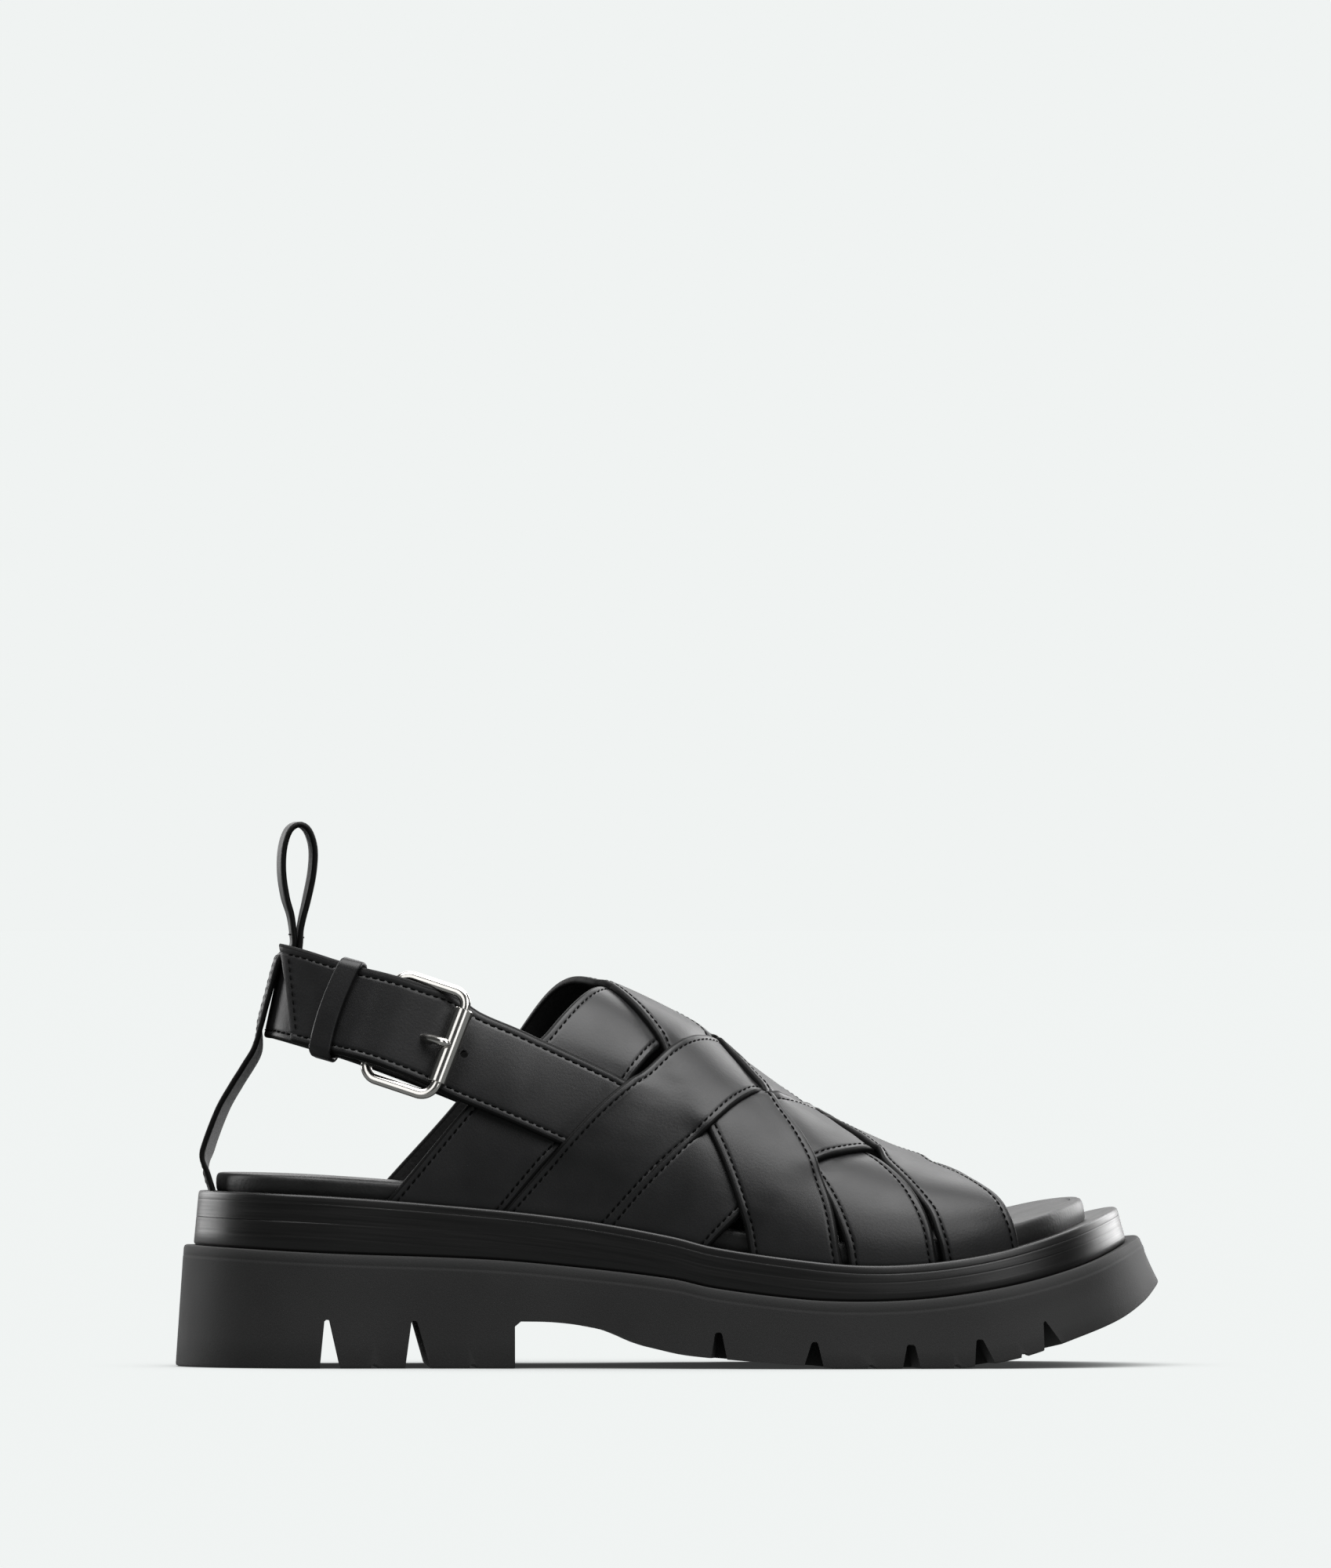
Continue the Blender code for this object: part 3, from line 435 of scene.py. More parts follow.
# place along the shoe, lateral edge, medial edge
FOOTBED_PLAN = (
    (-128.0, -20.0, 20.0),
    (-108.0, -31.0, 31.0),
    (-75.0, -33.0, 32.0),
    (-35.0, -37.0, 32.5),
    (5.0, -43.5, 38.0),
    (45.0, -49.2, 46.2),
    (75.5, -47.0, 47.3),
    (101.5, -38.0, 43.5),
    (119.2, -22.5, 30.5),
)
# how far each layer stands out past the footbed at the heel, the sides and the toe
MIDSOLE_FOOT = (7.0, 6.0, 12.5)
MIDSOLE_TOP = (5.4, 5.0, 9.6)
OUTSOLE_TOP = (10.0, 8.6, 16.3)
OUTSOLE_FOOT = (12.5, 10.2, 22.5)
# place along, top of the outsole, top of the midsole
SOLE_PROFILE = (
    (-150.0, 37.2, 53.8),
    (-106.0, 34.8, 52.2),
    (-56.5, 32.9, 48.3),
    (-26.8, 30.3, 44.8),
    (0.0, 27.0, 39.9),
    (12.0, 24.3, 36.8),
    (39.0, 20.9, 32.8),
    (57.4, 20.2, 31.2),
    (75.7, 20.9, 31.7),
    (94.0, 23.2, 34.1),
    (112.0, 26.9, 38.4),
    (130.5, 32.6, 44.6),
    (150.0, 41.5, 53.0),
)
# place along, height of the tread
TREAD_PROFILE = (
    (88.0, 0.0),
    (99.8, 1.8),
    (109.0, 4.0),
    (120.5, 8.0),
    (137.0, 14.3),
    (146.0, 19.8),
    (151.0, 24.5),
)
CURVE_STEPS = 24


def curve_value(rows, column, at):
    """Smooth value of one column of a table at a place along its first column."""
    last = len(rows) - 1
    if at <= rows[0][0]:
        slope = (rows[1][column] - rows[0][column]) / (rows[1][0] - rows[0][0])
        return rows[0][column] + slope * (at - rows[0][0])
    if at >= rows[last][0]:
        slope = (rows[last][column] - rows[last - 1][column]) / (rows[last][0] - rows[last - 1][0])
        return rows[last][column] + slope * (at - rows[last][0])
    k = 0
    while at > rows[k + 1][0]:
        k += 1

    def slope_at(j):
        low = max(j - 1, 0)
        high = min(j + 1, last)
        return (rows[high][column] - rows[low][column]) / (rows[high][0] - rows[low][0])

    span = rows[k + 1][0] - rows[k][0]
    t = (at - rows[k][0]) / span
    return (
        (2 * t**3 - 3 * t**2 + 1) * rows[k][column]
        + (t**3 - 2 * t**2 + t) * slope_at(k) * span
        + (3 * t**2 - 2 * t**3) * rows[k + 1][column]
        + (t**3 - t**2) * slope_at(k + 1) * span
    )


def smooth_path(points, count):
    """Even points along a smooth curve through the given points."""
    dense = []
    last = len(points) - 1
    for k in range(last):
        before = points[max(k - 1, 0)]
        start = points[k]
        end = points[k + 1]
        after = points[min(k + 2, last)]
        for step in range(CURVE_STEPS):
            t = step / CURVE_STEPS
            bend = (2 * before - 5 * start + 4 * end - after) * t**2
            bend += (3 * start - before - 3 * end + after) * t**3
            dense.append(0.5 * (2 * start + (end - before) * t + bend))
    dense.append(points[last])
    lengths = [0.0]
    for a, b in zip(dense, dense[1:]):
        lengths.append(lengths[-1] + (b - a).length)
    result = []
    k = 0
    for step in range(count + 1):
        goal = lengths[-1] * step / count
        while k < len(dense) - 2 and lengths[k + 1] < goal:
            k += 1
        part = (goal - lengths[k]) / max(lengths[k + 1] - lengths[k], 1e-9)
        result.append(dense[k].lerp(dense[k + 1], part))
    return result


def ease(value):
    t = min(max(value, 0.0), 1.0)
    return t * t * (3 - 2 * t)


def ramp(value, start, length):
    """Smooth rise from 0 to 1 over a length that begins at start."""
    return ease((value - start) / length)


def outsole_top(along):
    return curve_value(SOLE_PROFILE, 1, along)


def midsole_top(along):
    return curve_value(SOLE_PROFILE, 2, along)


def tread(along):
    return 0.0 if along <= TREAD_PROFILE[0][0] else curve_value(TREAD_PROFILE, 1, along)


print("midsole top at heel and ball:", round(midsole_top(-120), 1), round(midsole_top(60), 1))

# %% [markdown]
# Every layer of the sole is the footbed's outline grown outwards by some amount. The outline
# is one closed ring, lateral side first, so that matching rings can be joined into walls. The
# toe springs up a little earlier on the medial side, as a foot rolls off its big toe.

# %% Sole outline
DENSE_STEPS = 2400
EVEN_STEPS = 1200
OUTLINE_STEPS = 120
HEEL_BLEND = (-130.0, 45.0)
TOE_BLEND = (70.0, 55.0)
TOE_SKEW = 0.16
SPRING_BLEND = (40.0, 60.0)


def footbed_edges():
    """Lateral and medial edge of the footbed, with points closer together at the ends."""
    heel = Vector((FOOTBED_HEEL, 0.0, 0.0))
    toe = Vector((FOOTBED_TOE, TOE_TIP_OFFSET, 0.0))
    control = [heel]
    control += [Vector((row[0], row[1], 0.0)) for row in FOOTBED_PLAN]
    control.append(toe)
    control += [Vector((row[0], row[2], 0.0)) for row in reversed(FOOTBED_PLAN)]
    dense = smooth_path(control[-2:] + control + control[:3], DENSE_STEPS)
    start = min(range(len(dense) // 2), key=lambda i: (dense[i] - heel).length)
    rest = range(start + 1, len(dense))
    finish = min(rest, key=lambda i: (dense[i] - toe).length)
    rest = range(finish + 1, len(dense))
    close = min(rest, key=lambda i: (dense[i] - heel).length)
    sides = (dense[start : finish + 1], list(reversed(dense[finish : close + 1])))
    result = []
    for side in sides:
        even = smooth_path(side, EVEN_STEPS)
        stops = [step / OUTLINE_STEPS for step in range(OUTLINE_STEPS + 1)]
        stops = [0.55 * t + 0.45 * (1 - math.cos(math.pi * t)) / 2 for t in stops]
        result.append([even[round(t * EVEN_STEPS)] for t in stops])
    return result


LATERAL_EDGE, MEDIAL_EDGE = footbed_edges()


def grown(edge, side, amounts):
    """An edge moved outward by amounts given for the heel, the sides and the toe."""
    result = []
    heel, middle, toe = amounts
    for i, point in enumerate(edge):
        ahead = edge[min(i + 2, len(edge) - 1)] - edge[max(i - 2, 0)]
        if i in (0, len(edge) - 1):
            ahead = Vector((0.0, side if i == 0 else -side, 0.0))
        outward = Vector((ahead.y, -ahead.x, 0.0)).normalized() * -side
        amount = heel + (middle - heel) * ramp(point.x, *HEEL_BLEND)
        amount += (toe - middle) * ramp(point.x, *TOE_BLEND)
        result.append(point + outward * amount)
    return result


def edge_at(edge, along):
    return float(np.interp(along, [p.x for p in edge], [p.y for p in edge]))


def sprung(along, out):
    """Place whose toe spring a point shares: the toe rises earlier on the medial side."""
    from_lateral = max(out - edge_at(LATERAL_EDGE, along), 0.0)
    return along + TOE_SKEW * from_lateral * ramp(along, *SPRING_BLEND)


def outline(amounts, height):
    """Closed ring round the sole, each point at the height of its place in plan."""
    ring = grown(LATERAL_EDGE, -1.0, amounts)
    ring += list(reversed(grown(MEDIAL_EDGE, 1.0, amounts)))[1:-1]
    return [Vector((p.x, p.y, height(p.x, p.y))) for p in ring]


def inward(ring, share, height):
    """The ring drawn in towards the middle line of the sole, all the way where share is 1."""
    count = len(ring)
    half = count // 2
    result = []
    for i, point in enumerate(ring):
        k = min(max(i if i <= half else count - i, 1), half - 1)
        middle = (ring[k] + ring[count - k]) / 2
        place = point.lerp(middle, share)
        place.z = height(place.x, place.y)
        result.append(place)
    return result


def leaning(low, high, share, off, tall):
    """Outline amounts part way up a leaning wall, off being millimetres over that share."""
    return [a + (b - a) * (share + off / t) for a, b, t in zip(low, high, tall)]


print("points in one outline:", 2 * OUTLINE_STEPS)

# %% [markdown]
# Most of this shoe is sheets and bands, so one helper does what a hand would do: add a grid,
# lay it on rows of points so that it rolls into a tube, weld the seam, fill open ends and make
# the faces point outwards. Others turn a round piece from a short profile, join pieces, and
# cut one closed piece with another.

# %% Rolled grids and cuts
WELD = 2e-6
ROLLED_SMOOTH_DEG = 38
CUT_SMOOTH_DEG = 30


def rolled(name, rings, finishes, band=None):
    """Closed piece through matching rings of points, with a finish for each band of faces."""
    long_cells = len(rings) - 1
    round_cells = len(rings[0])
    bpy.ops.object.select_all(action="DESELECT")
    bpy.ops.mesh.primitive_grid_add(
        x_subdivisions=long_cells, y_subdivisions=round_cells, size=2.0, calc_uvs=False
    )
    piece = bpy.context.object
    piece.name = name
    piece.data.name = name
    columns = {}
    for vert in piece.data.vertices:
        i = round((vert.co.x + 1) / 2 * long_cells)
        j = round((vert.co.y + 1) / 2 * round_cells)
        columns[vert.index] = j
        vert.co = Vector(rings[i][j % round_cells]) * MM
    for finish in finishes:
        piece.data.materials.append(finish)
    if band:
        for face in piece.data.polygons:
            face.material_index = band[min(columns[v] for v in face.vertices)]
    bpy.ops.object.mode_set(mode="EDIT")
    bpy.ops.mesh.select_all(action="SELECT")
    bpy.ops.mesh.remove_doubles(threshold=WELD)
    bpy.ops.mesh.fill_holes(sides=0)
    bpy.ops.mesh.select_all(action="SELECT")
    bpy.ops.mesh.normals_make_consistent(inside=False)
    bpy.ops.object.mode_set(mode="OBJECT")
    bpy.ops.object.shade_smooth_by_angle(angle=math.radians(ROLLED_SMOOTH_DEG))
    return piece


def turned(name, centre, axes, profile, points, finishes):
    """Round piece through rows of place and radius. The axes are two across it and its own."""
    across, out, along = axes
    turns = [2 * math.pi * k / points for k in range(points)]
    rings = []
    for place, size in profile:
        middle = centre + along * place
        rings.append([middle + (across * math.cos(t) + out * math.sin(t)) * size for t in turns])
    return rolled(name, rings, finishes)


def pick(*pieces):
    """Selects these pieces alone and makes the first one active."""
    bpy.ops.object.select_all(action="DESELECT")
    for piece in pieces:
        piece.select_set(True)
    bpy.context.view_layer.objects.active = pieces[0]


def join(pieces, name):
    """Several meshes made into one object."""
    pick(*pieces)
    bpy.ops.object.join()
    pieces[0].name = name
    pieces[0].data.name = name
    return pieces[0]


def cut(piece, cutter):
    """Takes a closed cutter away from a piece."""
    pick(piece)
    change = piece.modifiers.new("cut", "BOOLEAN")
    change.operation = "DIFFERENCE"
    change.solver = "EXACT"
    change.object = cutter
    bpy.ops.object.modifier_apply(modifier=change.name)
    bpy.data.objects.remove(cutter, do_unlink=True)
    bpy.ops.object.shade_smooth_by_angle(angle=math.radians(CUT_SMOOTH_DEG))


def settle(piece, slot, *nodes):
    """Puts a finished piece on the shoe, in the place of the plain solids that it stands for."""
    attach(piece, "root")
    if nodes:
        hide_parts(*nodes)
    faces = sum(len(face.vertices) - 2 for face in piece.data.polygons)
    print(piece.name, faces, "triangles")


print("helpers ready")

# %% [markdown]
# The outsole is one rubber moulding. Its wall leans out to the ground, has a fine moulded step
# just under the top edge, and its edges are eased. Bevels on a plain block could give that, but
# rings give the lean, the step and the eased edges in one clean skin. They run from the middle of
# the tread, out and up, and back in to the middle of the top.

# %% Outsole wall
outsole_rings = []
WALL_TALL = (37.0, 21.0, 17.0)
FOOT_EASE = 0.7


def wall_height(share, off):
    def height(along, out):
        low = tread(along)
        return low + (outsole_top(sprung(along, out)) - low) * share + off

    return height


foot_ring = outline([a - FOOT_EASE for a in OUTSOLE_FOOT], wall_height(0.0, 0.0))
for share in (1.0, 0.66, 0.33, 0.08):
    outsole_rings.append(inward(foot_ring, share, wall_height(0.0, 0.0)))
outsole_rings.append(foot_ring)
# share of the wall's height, how far out, millimetres over that share
WALL = (
    (0.0, -0.15, 0.2),
    (0.0, 0.0, 0.8),
    (0.25, 0.0, 0.0),
    (0.48, 0.0, 0.0),
    (0.68, 0.0, 0.0),
    (1.0, 0.0, -4.2),
    (1.0, 0.0, -3.6),
    (1.0, -0.09, -3.3),
    (1.0, -0.06, -3.0),
    (1.0, -0.06, -2.4),
    (1.0, -0.06, -1.0),
    (1.0, -0.3, -0.3),
    (1.0, -0.9, 0.0),
)
for share, inset, off in WALL:
    amounts = leaning(OUTSOLE_FOOT, OUTSOLE_TOP, share, off, WALL_TALL)
    outsole_rings.append(outline([a + inset for a in amounts], wall_height(share, off)))
top_ring = outsole_rings[-1]
for share in (0.2, 0.6, 1.0):
    outsole_rings.append(inward(top_ring, share, wall_height(1.0, 0.0)))
outsole_rubber = rolled("outsole_rubber", outsole_rings, [moulded_rubber])
print("outsole wall faces:", len(outsole_rubber.data.polygons))

# %% [markdown]
# Then the tread is cut: the arch that lifts the waist off the ground, V notches right through
# the heel, blind notches along both edges of the forefoot, and small half-round sipes. Each is a
# plain shape, like the cores of the mould, so Boolean cuts are the short way.

# %% Arch and lugs
# place along, height of the arch
ARCH_PROFILE = (
    (-48.0, 12.6),
    (-46.2, 14.1),
    (-36.7, 13.9),
    (-26.8, 12.7),
    (-12.9, 9.7),
    (-3.5, 5.9),
    (4.0, 4.0),
    (18.9, 2.5),
    (43.0, 0.6),
)
ARCH_SKEW = -5.0
SKEW_BEGINS = (-30.0, 20.0)
SKEW_ENDS = (20.0, 25.0)
# foot from and to, apex from and to, height of the apex
HEEL_NOTCHES = (
    (-107.3, -101.0, -105.9, -104.2, 14.6),
    (-81.3, -73.6, -79.4, -77.6, 14.3),
)
HEEL_NOTCH_SLANTS = (0.038, 0.022)
FOREFOOT_NOTCHES = (
    (10.4, 16.6, 12.2, 14.4, 10.9),
    (38.9, 45.3, 41.4, 43.4, 8.1),
    (69.2, 75.0, 70.6, 73.2, 7.2),
    (91.3, 98.6, 91.9, 94.2, 8.7),
    (111.9, 124.0, 112.6, 113.8, 14.2),
)
NOTCH_DEPTH = 18.0
NOTCH_ROUND = 0.5
NOTCH_TURN = -0.8
EDGE_SAMPLE = 4.0
SIPES = (-90.6, -60.7, 4.8, 30.4, 59.7, 86.0, 106.8)
SIPE_RADIUS = 1.1
SIPE_LIFT = 0.15
BELOW = -6.0
PAST_EDGE = 30.0
ACROSS_SOLE = 90.0
AXES_ACROSS = (Vector((1.0, 0.0, 0.0)), Vector((0.0, 0.0, 1.0)), Vector((0.0, 1.0, 0.0)))

waist = smooth_path([Vector((a, 0.0, h)) for a, h in ARCH_PROFILE[1:]], 40)
arch = [ARCH_PROFILE[0]] + [(p.x, p.z) for p in waist]
loop = [(arch[0][0], BELOW)] + arch + [(arch[-1][0] + 5.0, 0.05), (arch[-1][0] + 5.0, BELOW)]
near = [Vector((a, -ACROSS_SOLE, h)) for a, h in loop]
far = []
for a, h in loop:
    skew = ARCH_SKEW * ramp(a, *SKEW_BEGINS) * (1 - ramp(a, *SKEW_ENDS))
    far.append(Vector((a + skew, ACROSS_SOLE, h)))
cut(outsole_rubber, rolled("arch_cutter", [near, far], [moulded_rubber]))

wedges = []
foot_lateral = grown(LATERAL_EDGE, -1.0, OUTSOLE_FOOT)
foot_medial = grown(MEDIAL_EDGE, 1.0, OUTSOLE_FOOT)
for index, notch in enumerate(HEEL_NOTCHES + FOREFOOT_NOTCHES):
    foot_a, foot_b, apex_a, apex_b, apex = notch
    lean_a = (apex_a - foot_a) / apex
    lean_b = (foot_b - apex_b) / apex
    profile = [(foot_a + lean_a * BELOW, BELOW), (apex_a, apex - NOTCH_ROUND)]
    profile += [(apex_a + NOTCH_ROUND, apex), (apex_b - NOTCH_ROUND, apex)]
    profile += [(apex_b, apex - NOTCH_ROUND), (foot_b - lean_b * BELOW, BELOW)]
    middle = (foot_a + foot_b) / 2
    reaches = []
    if index < len(HEEL_NOTCHES):
        out = edge_at(foot_lateral, middle)
        reaches.append((-ACROSS_SOLE, ACROSS_SOLE, out, HEEL_NOTCH_SLANTS[index]))
    else:
        for edge, side in ((foot_lateral, -1.0), (foot_medial, 1.0)):
            out = edge_at(edge, middle)
            ahead = edge_at(edge, middle + EDGE_SAMPLE)
            square = (ahead - edge_at(edge, middle - EDGE_SAMPLE)) / (2 * EDGE_SAMPLE)
            start = out + side * PAST_EDGE
            reaches.append((start, out - side * NOTCH_DEPTH, out, NOTCH_TURN * square))
    for start, end, out, slant in reaches:
        ends = []
        for y in (start, end):
            ends.append([Vector((x + slant * (y - out), y, z)) for x, z in profile])
        wedges.append(rolled("notch", ends, [moulded_rubber]))
cut(outsole_rubber, join(wedges, "notches"))

rods = []
for along in SIPES:
    middle = Vector((along, 0.0, tread(along) + SIPE_LIFT))
    profile = ((-ACROSS_SOLE, SIPE_RADIUS), (ACROSS_SOLE, SIPE_RADIUS))
    rods.append(turned("sipe", middle, AXES_ACROSS, profile, 12, [moulded_rubber]))
cut(outsole_rubber, join(rods, "sipes"))
settle(outsole_rubber, "rubber", "outsole")

# %% [markdown]
# The midsole is a stack of leather layers with an upright burnished wall. The glue lines
# between the layers are fine grooves, and the top edge is eased to a soft corner. Loops could be
# cut in afterwards, but rows of one table put the grooves just where the layers meet.

# %% Midsole
STACK_TALL = (16.5, 12.5, 11.8)
SEAT_GAP = 0.05


def stack_height(share, off):
    def height(along, out):
        place = sprung(along, out)
        low = outsole_top(place) + SEAT_GAP
        return low + (midsole_top(place) - low) * share + off

    return height


# share of the height, how far out at the heel and in front, millimetres over that share
STACK = (
    (0.0, -0.7, -0.7, 0.0),
    (0.0, -0.22, -0.22, 0.4),
    (0.0, 0.0, 0.0, 0.9),
    (0.25, 0.0, 0.0, 0.0),
    (0.52, 0.0, 0.0, -0.5),
    (0.52, 0.0, 0.0, -0.14),
    (0.52, -0.12, -0.03, 0.0),
    (0.52, 0.0, 0.0, 0.14),
    (0.52, 0.0, 0.0, 0.5),
    (0.66, 0.0, 0.0, 0.0),
    (1.0, 0.0, 0.0, -3.1),
    (1.0, 0.0, 0.0, -2.7),
    (1.0, -0.02, -0.05, -2.6),
    (1.0, 0.0, 0.0, -2.5),
    (1.0, 0.0, 0.0, -2.1),
    (1.0, 0.0, 0.0, -0.9),
    (1.0, -0.1, -0.1, -0.45),
    (1.0, -0.34, -0.34, -0.12),
    (1.0, -0.8, -0.8, 0.0),
)
midsole_rings = []
stack_foot = outline(MIDSOLE_FOOT, stack_height(0.0, 0.0))
for share in (1.0, 0.5, 0.1):
    midsole_rings.append(inward(stack_foot, share, stack_height(0.0, 0.0)))
for share, heel_inset, front_inset, off in STACK:
    heel, middle, toe = leaning(MIDSOLE_FOOT, MIDSOLE_TOP, share, off, STACK_TALL)
    amounts = (heel + heel_inset, middle + front_inset, toe + front_inset)
    midsole_rings.append(outline(amounts, stack_height(share, off)))
stack_top = midsole_rings[-1]
for share in (0.1, 0.3, 0.7, 1.0):
    midsole_rings.append(inward(stack_top, share, stack_height(1.0, 0.0)))
midsole_stack = rolled("midsole_stack", midsole_rings, [stacked_leather])
level = midsole_stack.data.attributes.new("level", "FLOAT", "POINT")
for vertex, entry in zip(midsole_stack.data.vertices, level.data):
    place = sprung(vertex.co.x / MM, vertex.co.y / MM)
    entry.value = vertex.co.z - midsole_top(place) * MM
settle(midsole_stack, "stacked_leather", "midsole")

# %% [markdown]
# The footbed is a cork and foam board wrapped in leather: an upright side that turns over a
# round rim into a shallow dish, deeper under the heel than under the toes. Sculpting could give
# the dish. Rings drawn in towards the middle line give it evenly and keep the rim crisp.

# %% Footbed
HEEL_RIM = 5.7
TOE_RIM_MORE = 1.3
RIM_BLEND = (-60.0, 150.0)
HEEL_DISH = 1.8
TOE_DISH_LESS = 1.2
DISH_BLEND = (-40.0, 90.0)
TOE_INSET = 1.2


def rim(along):
    return HEEL_RIM + TOE_RIM_MORE * ramp(along, *RIM_BLEND)


def dish(along):
    return HEEL_DISH - TOE_DISH_LESS * ramp(along, *DISH_BLEND)


def bed_height(share):
    return lambda along, out: midsole_top(sprung(along, out)) + SEAT_GAP + rim(along) * share


# how far out, share of the rim's height
RIM = (
    (-0.3, 0.0),
    (0.0, 0.12),
    (0.12, 0.4),
    (0.06, 0.66),
    (-0.12, 0.82),
    (-0.5, 0.92),
    (-1.1, 0.975),
    (-2.0, 0.995),
    (-3.4, 1.0),
)
bed_rings = []
bed_foot = outline((-0.3, -0.3, -0.3), bed_height(0.0))
for share in (1.0, 0.4):
    bed_rings.append(inward(bed_foot, share, bed_height(0.0)))
for inset, share in RIM:
    bed_rings.append(outline((inset, inset, inset - TOE_INSET * share), bed_height(share)))
bed_top = bed_rings[-1]
for share in (0.06, 0.14, 0.28, 0.5, 0.75, 1.0):
    ring = inward(bed_top, share, bed_height(1.0))
    bed_rings.append([p - Vector((0.0, 0.0, dish(p.x) * (1 - (1 - share) ** 2))) for p in ring])
footbed_cover = rolled("footbed_cover", bed_rings, [footbed_hide])
settle(footbed_cover, "footbed_leather", "footbed")

# %% [markdown]
# The straps lie on the shape of a foot. That form is a table of ridge heights along the shoe,
# with a rounded arch section between the two edges of the footbed at each place. Straps could be
# shrink-wrapped on a sculpted foot, but a formula knows its own direction at every point.

# %% Foot form
# place along, height of the ridge, its offset, fullness of the section
FOOT_FORM = (
    (-90.0, 124.0, 1.0, 2.7),
    (-60.0, 122.0, 2.0, 2.6),
    (-37.0, 120.2, 3.0, 2.45),
    (-23.0, 118.4, 3.5, 2.35),
    (-8.0, 112.4, 4.0, 2.3),
    (8.8, 103.5, 4.5, 2.25),
    (23.6, 92.5, 5.0, 2.2),
    (44.4, 78.0, 5.5, 2.25),
    (60.5, 70.2, 6.0, 2.3),
    (73.9, 64.5, 6.0, 2.5),
    (92.7, 59.2, 6.0, 2.9),
    (110.0, 53.6, 6.0, 3.2),
)
CLEAR_OF_FOOTBED = 1.7
FORM_BACK = -140.0
FORM_FRONT = 125.0
FORM_PER_MM = 2
FORM_CELLS = int((FORM_FRONT - FORM_BACK) * FORM_PER_MM)
FORM_PLACES = np.linspace(FORM_BACK, FORM_FRONT, FORM_CELLS + 1)
FORM_COLUMNS = [[midsole_top(a) for a in FORM_PLACES]]
for column in (1, 2, 3):
    FORM_COLUMNS.append([curve_value(FOOT_FORM, column, a) for a in FORM_PLACES])
FORM_COLUMNS.append([edge_at(LATERAL_EDGE, a) - CLEAR_OF_FOOTBED for a in FORM_PLACES])
FORM_COLUMNS.append([edge_at(MEDIAL_EDGE, a) + CLEAR_OF_FOOTBED for a in FORM_PLACES])


def form_row(along):
    """All the form's sizes at a place, read from the evenly spaced columns."""
    spot = min(max((along - FORM_BACK) * FORM_PER_MM, 0.0), FORM_CELLS - 0.001)
    k = int(spot)
    part = spot - k
    return [column[k] * (1 - part) + column[k + 1] * part for column in FORM_COLUMNS]


def form_point(along, angle):
    """Point on the foot form: angle 0 at the lateral sole, 90 on the ridge, 180 medial."""
    base, ridge, middle, fullness, lateral, medial = form_row(along)
    inside = min(max(angle, 0.0), 180.0)
    below = math.radians(abs(angle - inside))
    turn = math.radians(inside)
    out = abs(math.cos(turn))
    up = math.sin(turn)
    reach = (out**fullness + up**fullness) ** (-1 / fullness)
    edge = lateral if inside < 90 else medial
    rise = ridge - base
    return Vector((along, middle + (edge - middle) * out * reach, base + rise * (up * reach - below)))


def form_frame(along, angle):
    place = form_point(along, angle)
    ahead = form_point(along + 0.5, angle) - form_point(along - 0.5, angle)
    around = form_point(along, angle + 0.5) - form_point(along, angle - 0.5)
    outward = around.cross(ahead).normalized() * -1
    return place, ahead, around, outward


def walk(along, angle, direction, distance):
    """One step across the foot form from one of its points, staying on it."""
    place, ahead, around, outward = form_frame(along, angle)
    move = direction - outward * direction.dot(outward)
    move = move.normalized() * distance
    aa = ahead.dot(ahead)
    ab = ahead.dot(around)
    bb = around.dot(around)
    ma = move.dot(ahead)
    mb = move.dot(around)
    det = aa * bb - ab * ab
    return along + (ma * bb - mb * ab) / det, angle + (mb * aa - ma * ab) / det


print("form over the instep:", [round(c, 1) for c in form_point(-10.0, 90.0)])

# %% [markdown]
# Six straps cross the foot, three from each side. Each one is a grid of places on the form with
# the direction that faces outwards there. Both ends run down to just below the midsole's top,
# so every column of the grid is cut to length there and spaced evenly again.

# %% Strap places
STRAP_ANGLES = (0.0, 18.0, 40.0, 90.0, 140.0, 162.0, 180.0)
# places along the shoe at those angles, width
BACK_TO_FRONT = (
    ((-68.2, -50.0, -25.0, 1.6, 25.0, 30.4, 31.8), 29.8),
    ((-34.6, -16.4, 4.2, 32.2, 56.0, 61.8, 63.4), 27.6),
    ((-4.4, 11.2, 29.4, 65.5, 87.4, 91.4, 92.8), 29.4),
)
FRONT_TO_BACK = (
    ((37.2, 34.2, 25.2, -8.0, -31.0, -51.6, -70.8), 27.6),
    ((66.9, 64.6, 57.0, 25.2, 2.0, -15.4, -33.1), 27.2),
    ((94.3, 92.5, 87.8, 61.8, 29.0, 14.6, 3.0), 26.2),
)
STRAP_TUCK_DEG = 18.0
STRAP_SUNK = 0.6
WEAVE_LEVEL = -1.2
STRAP_THICKNESS = 2.5
STRAP_ROWS = 140
STRAP_COLUMNS = 12
HELD_ROWS = 6
SETTLE_ROWS = 40


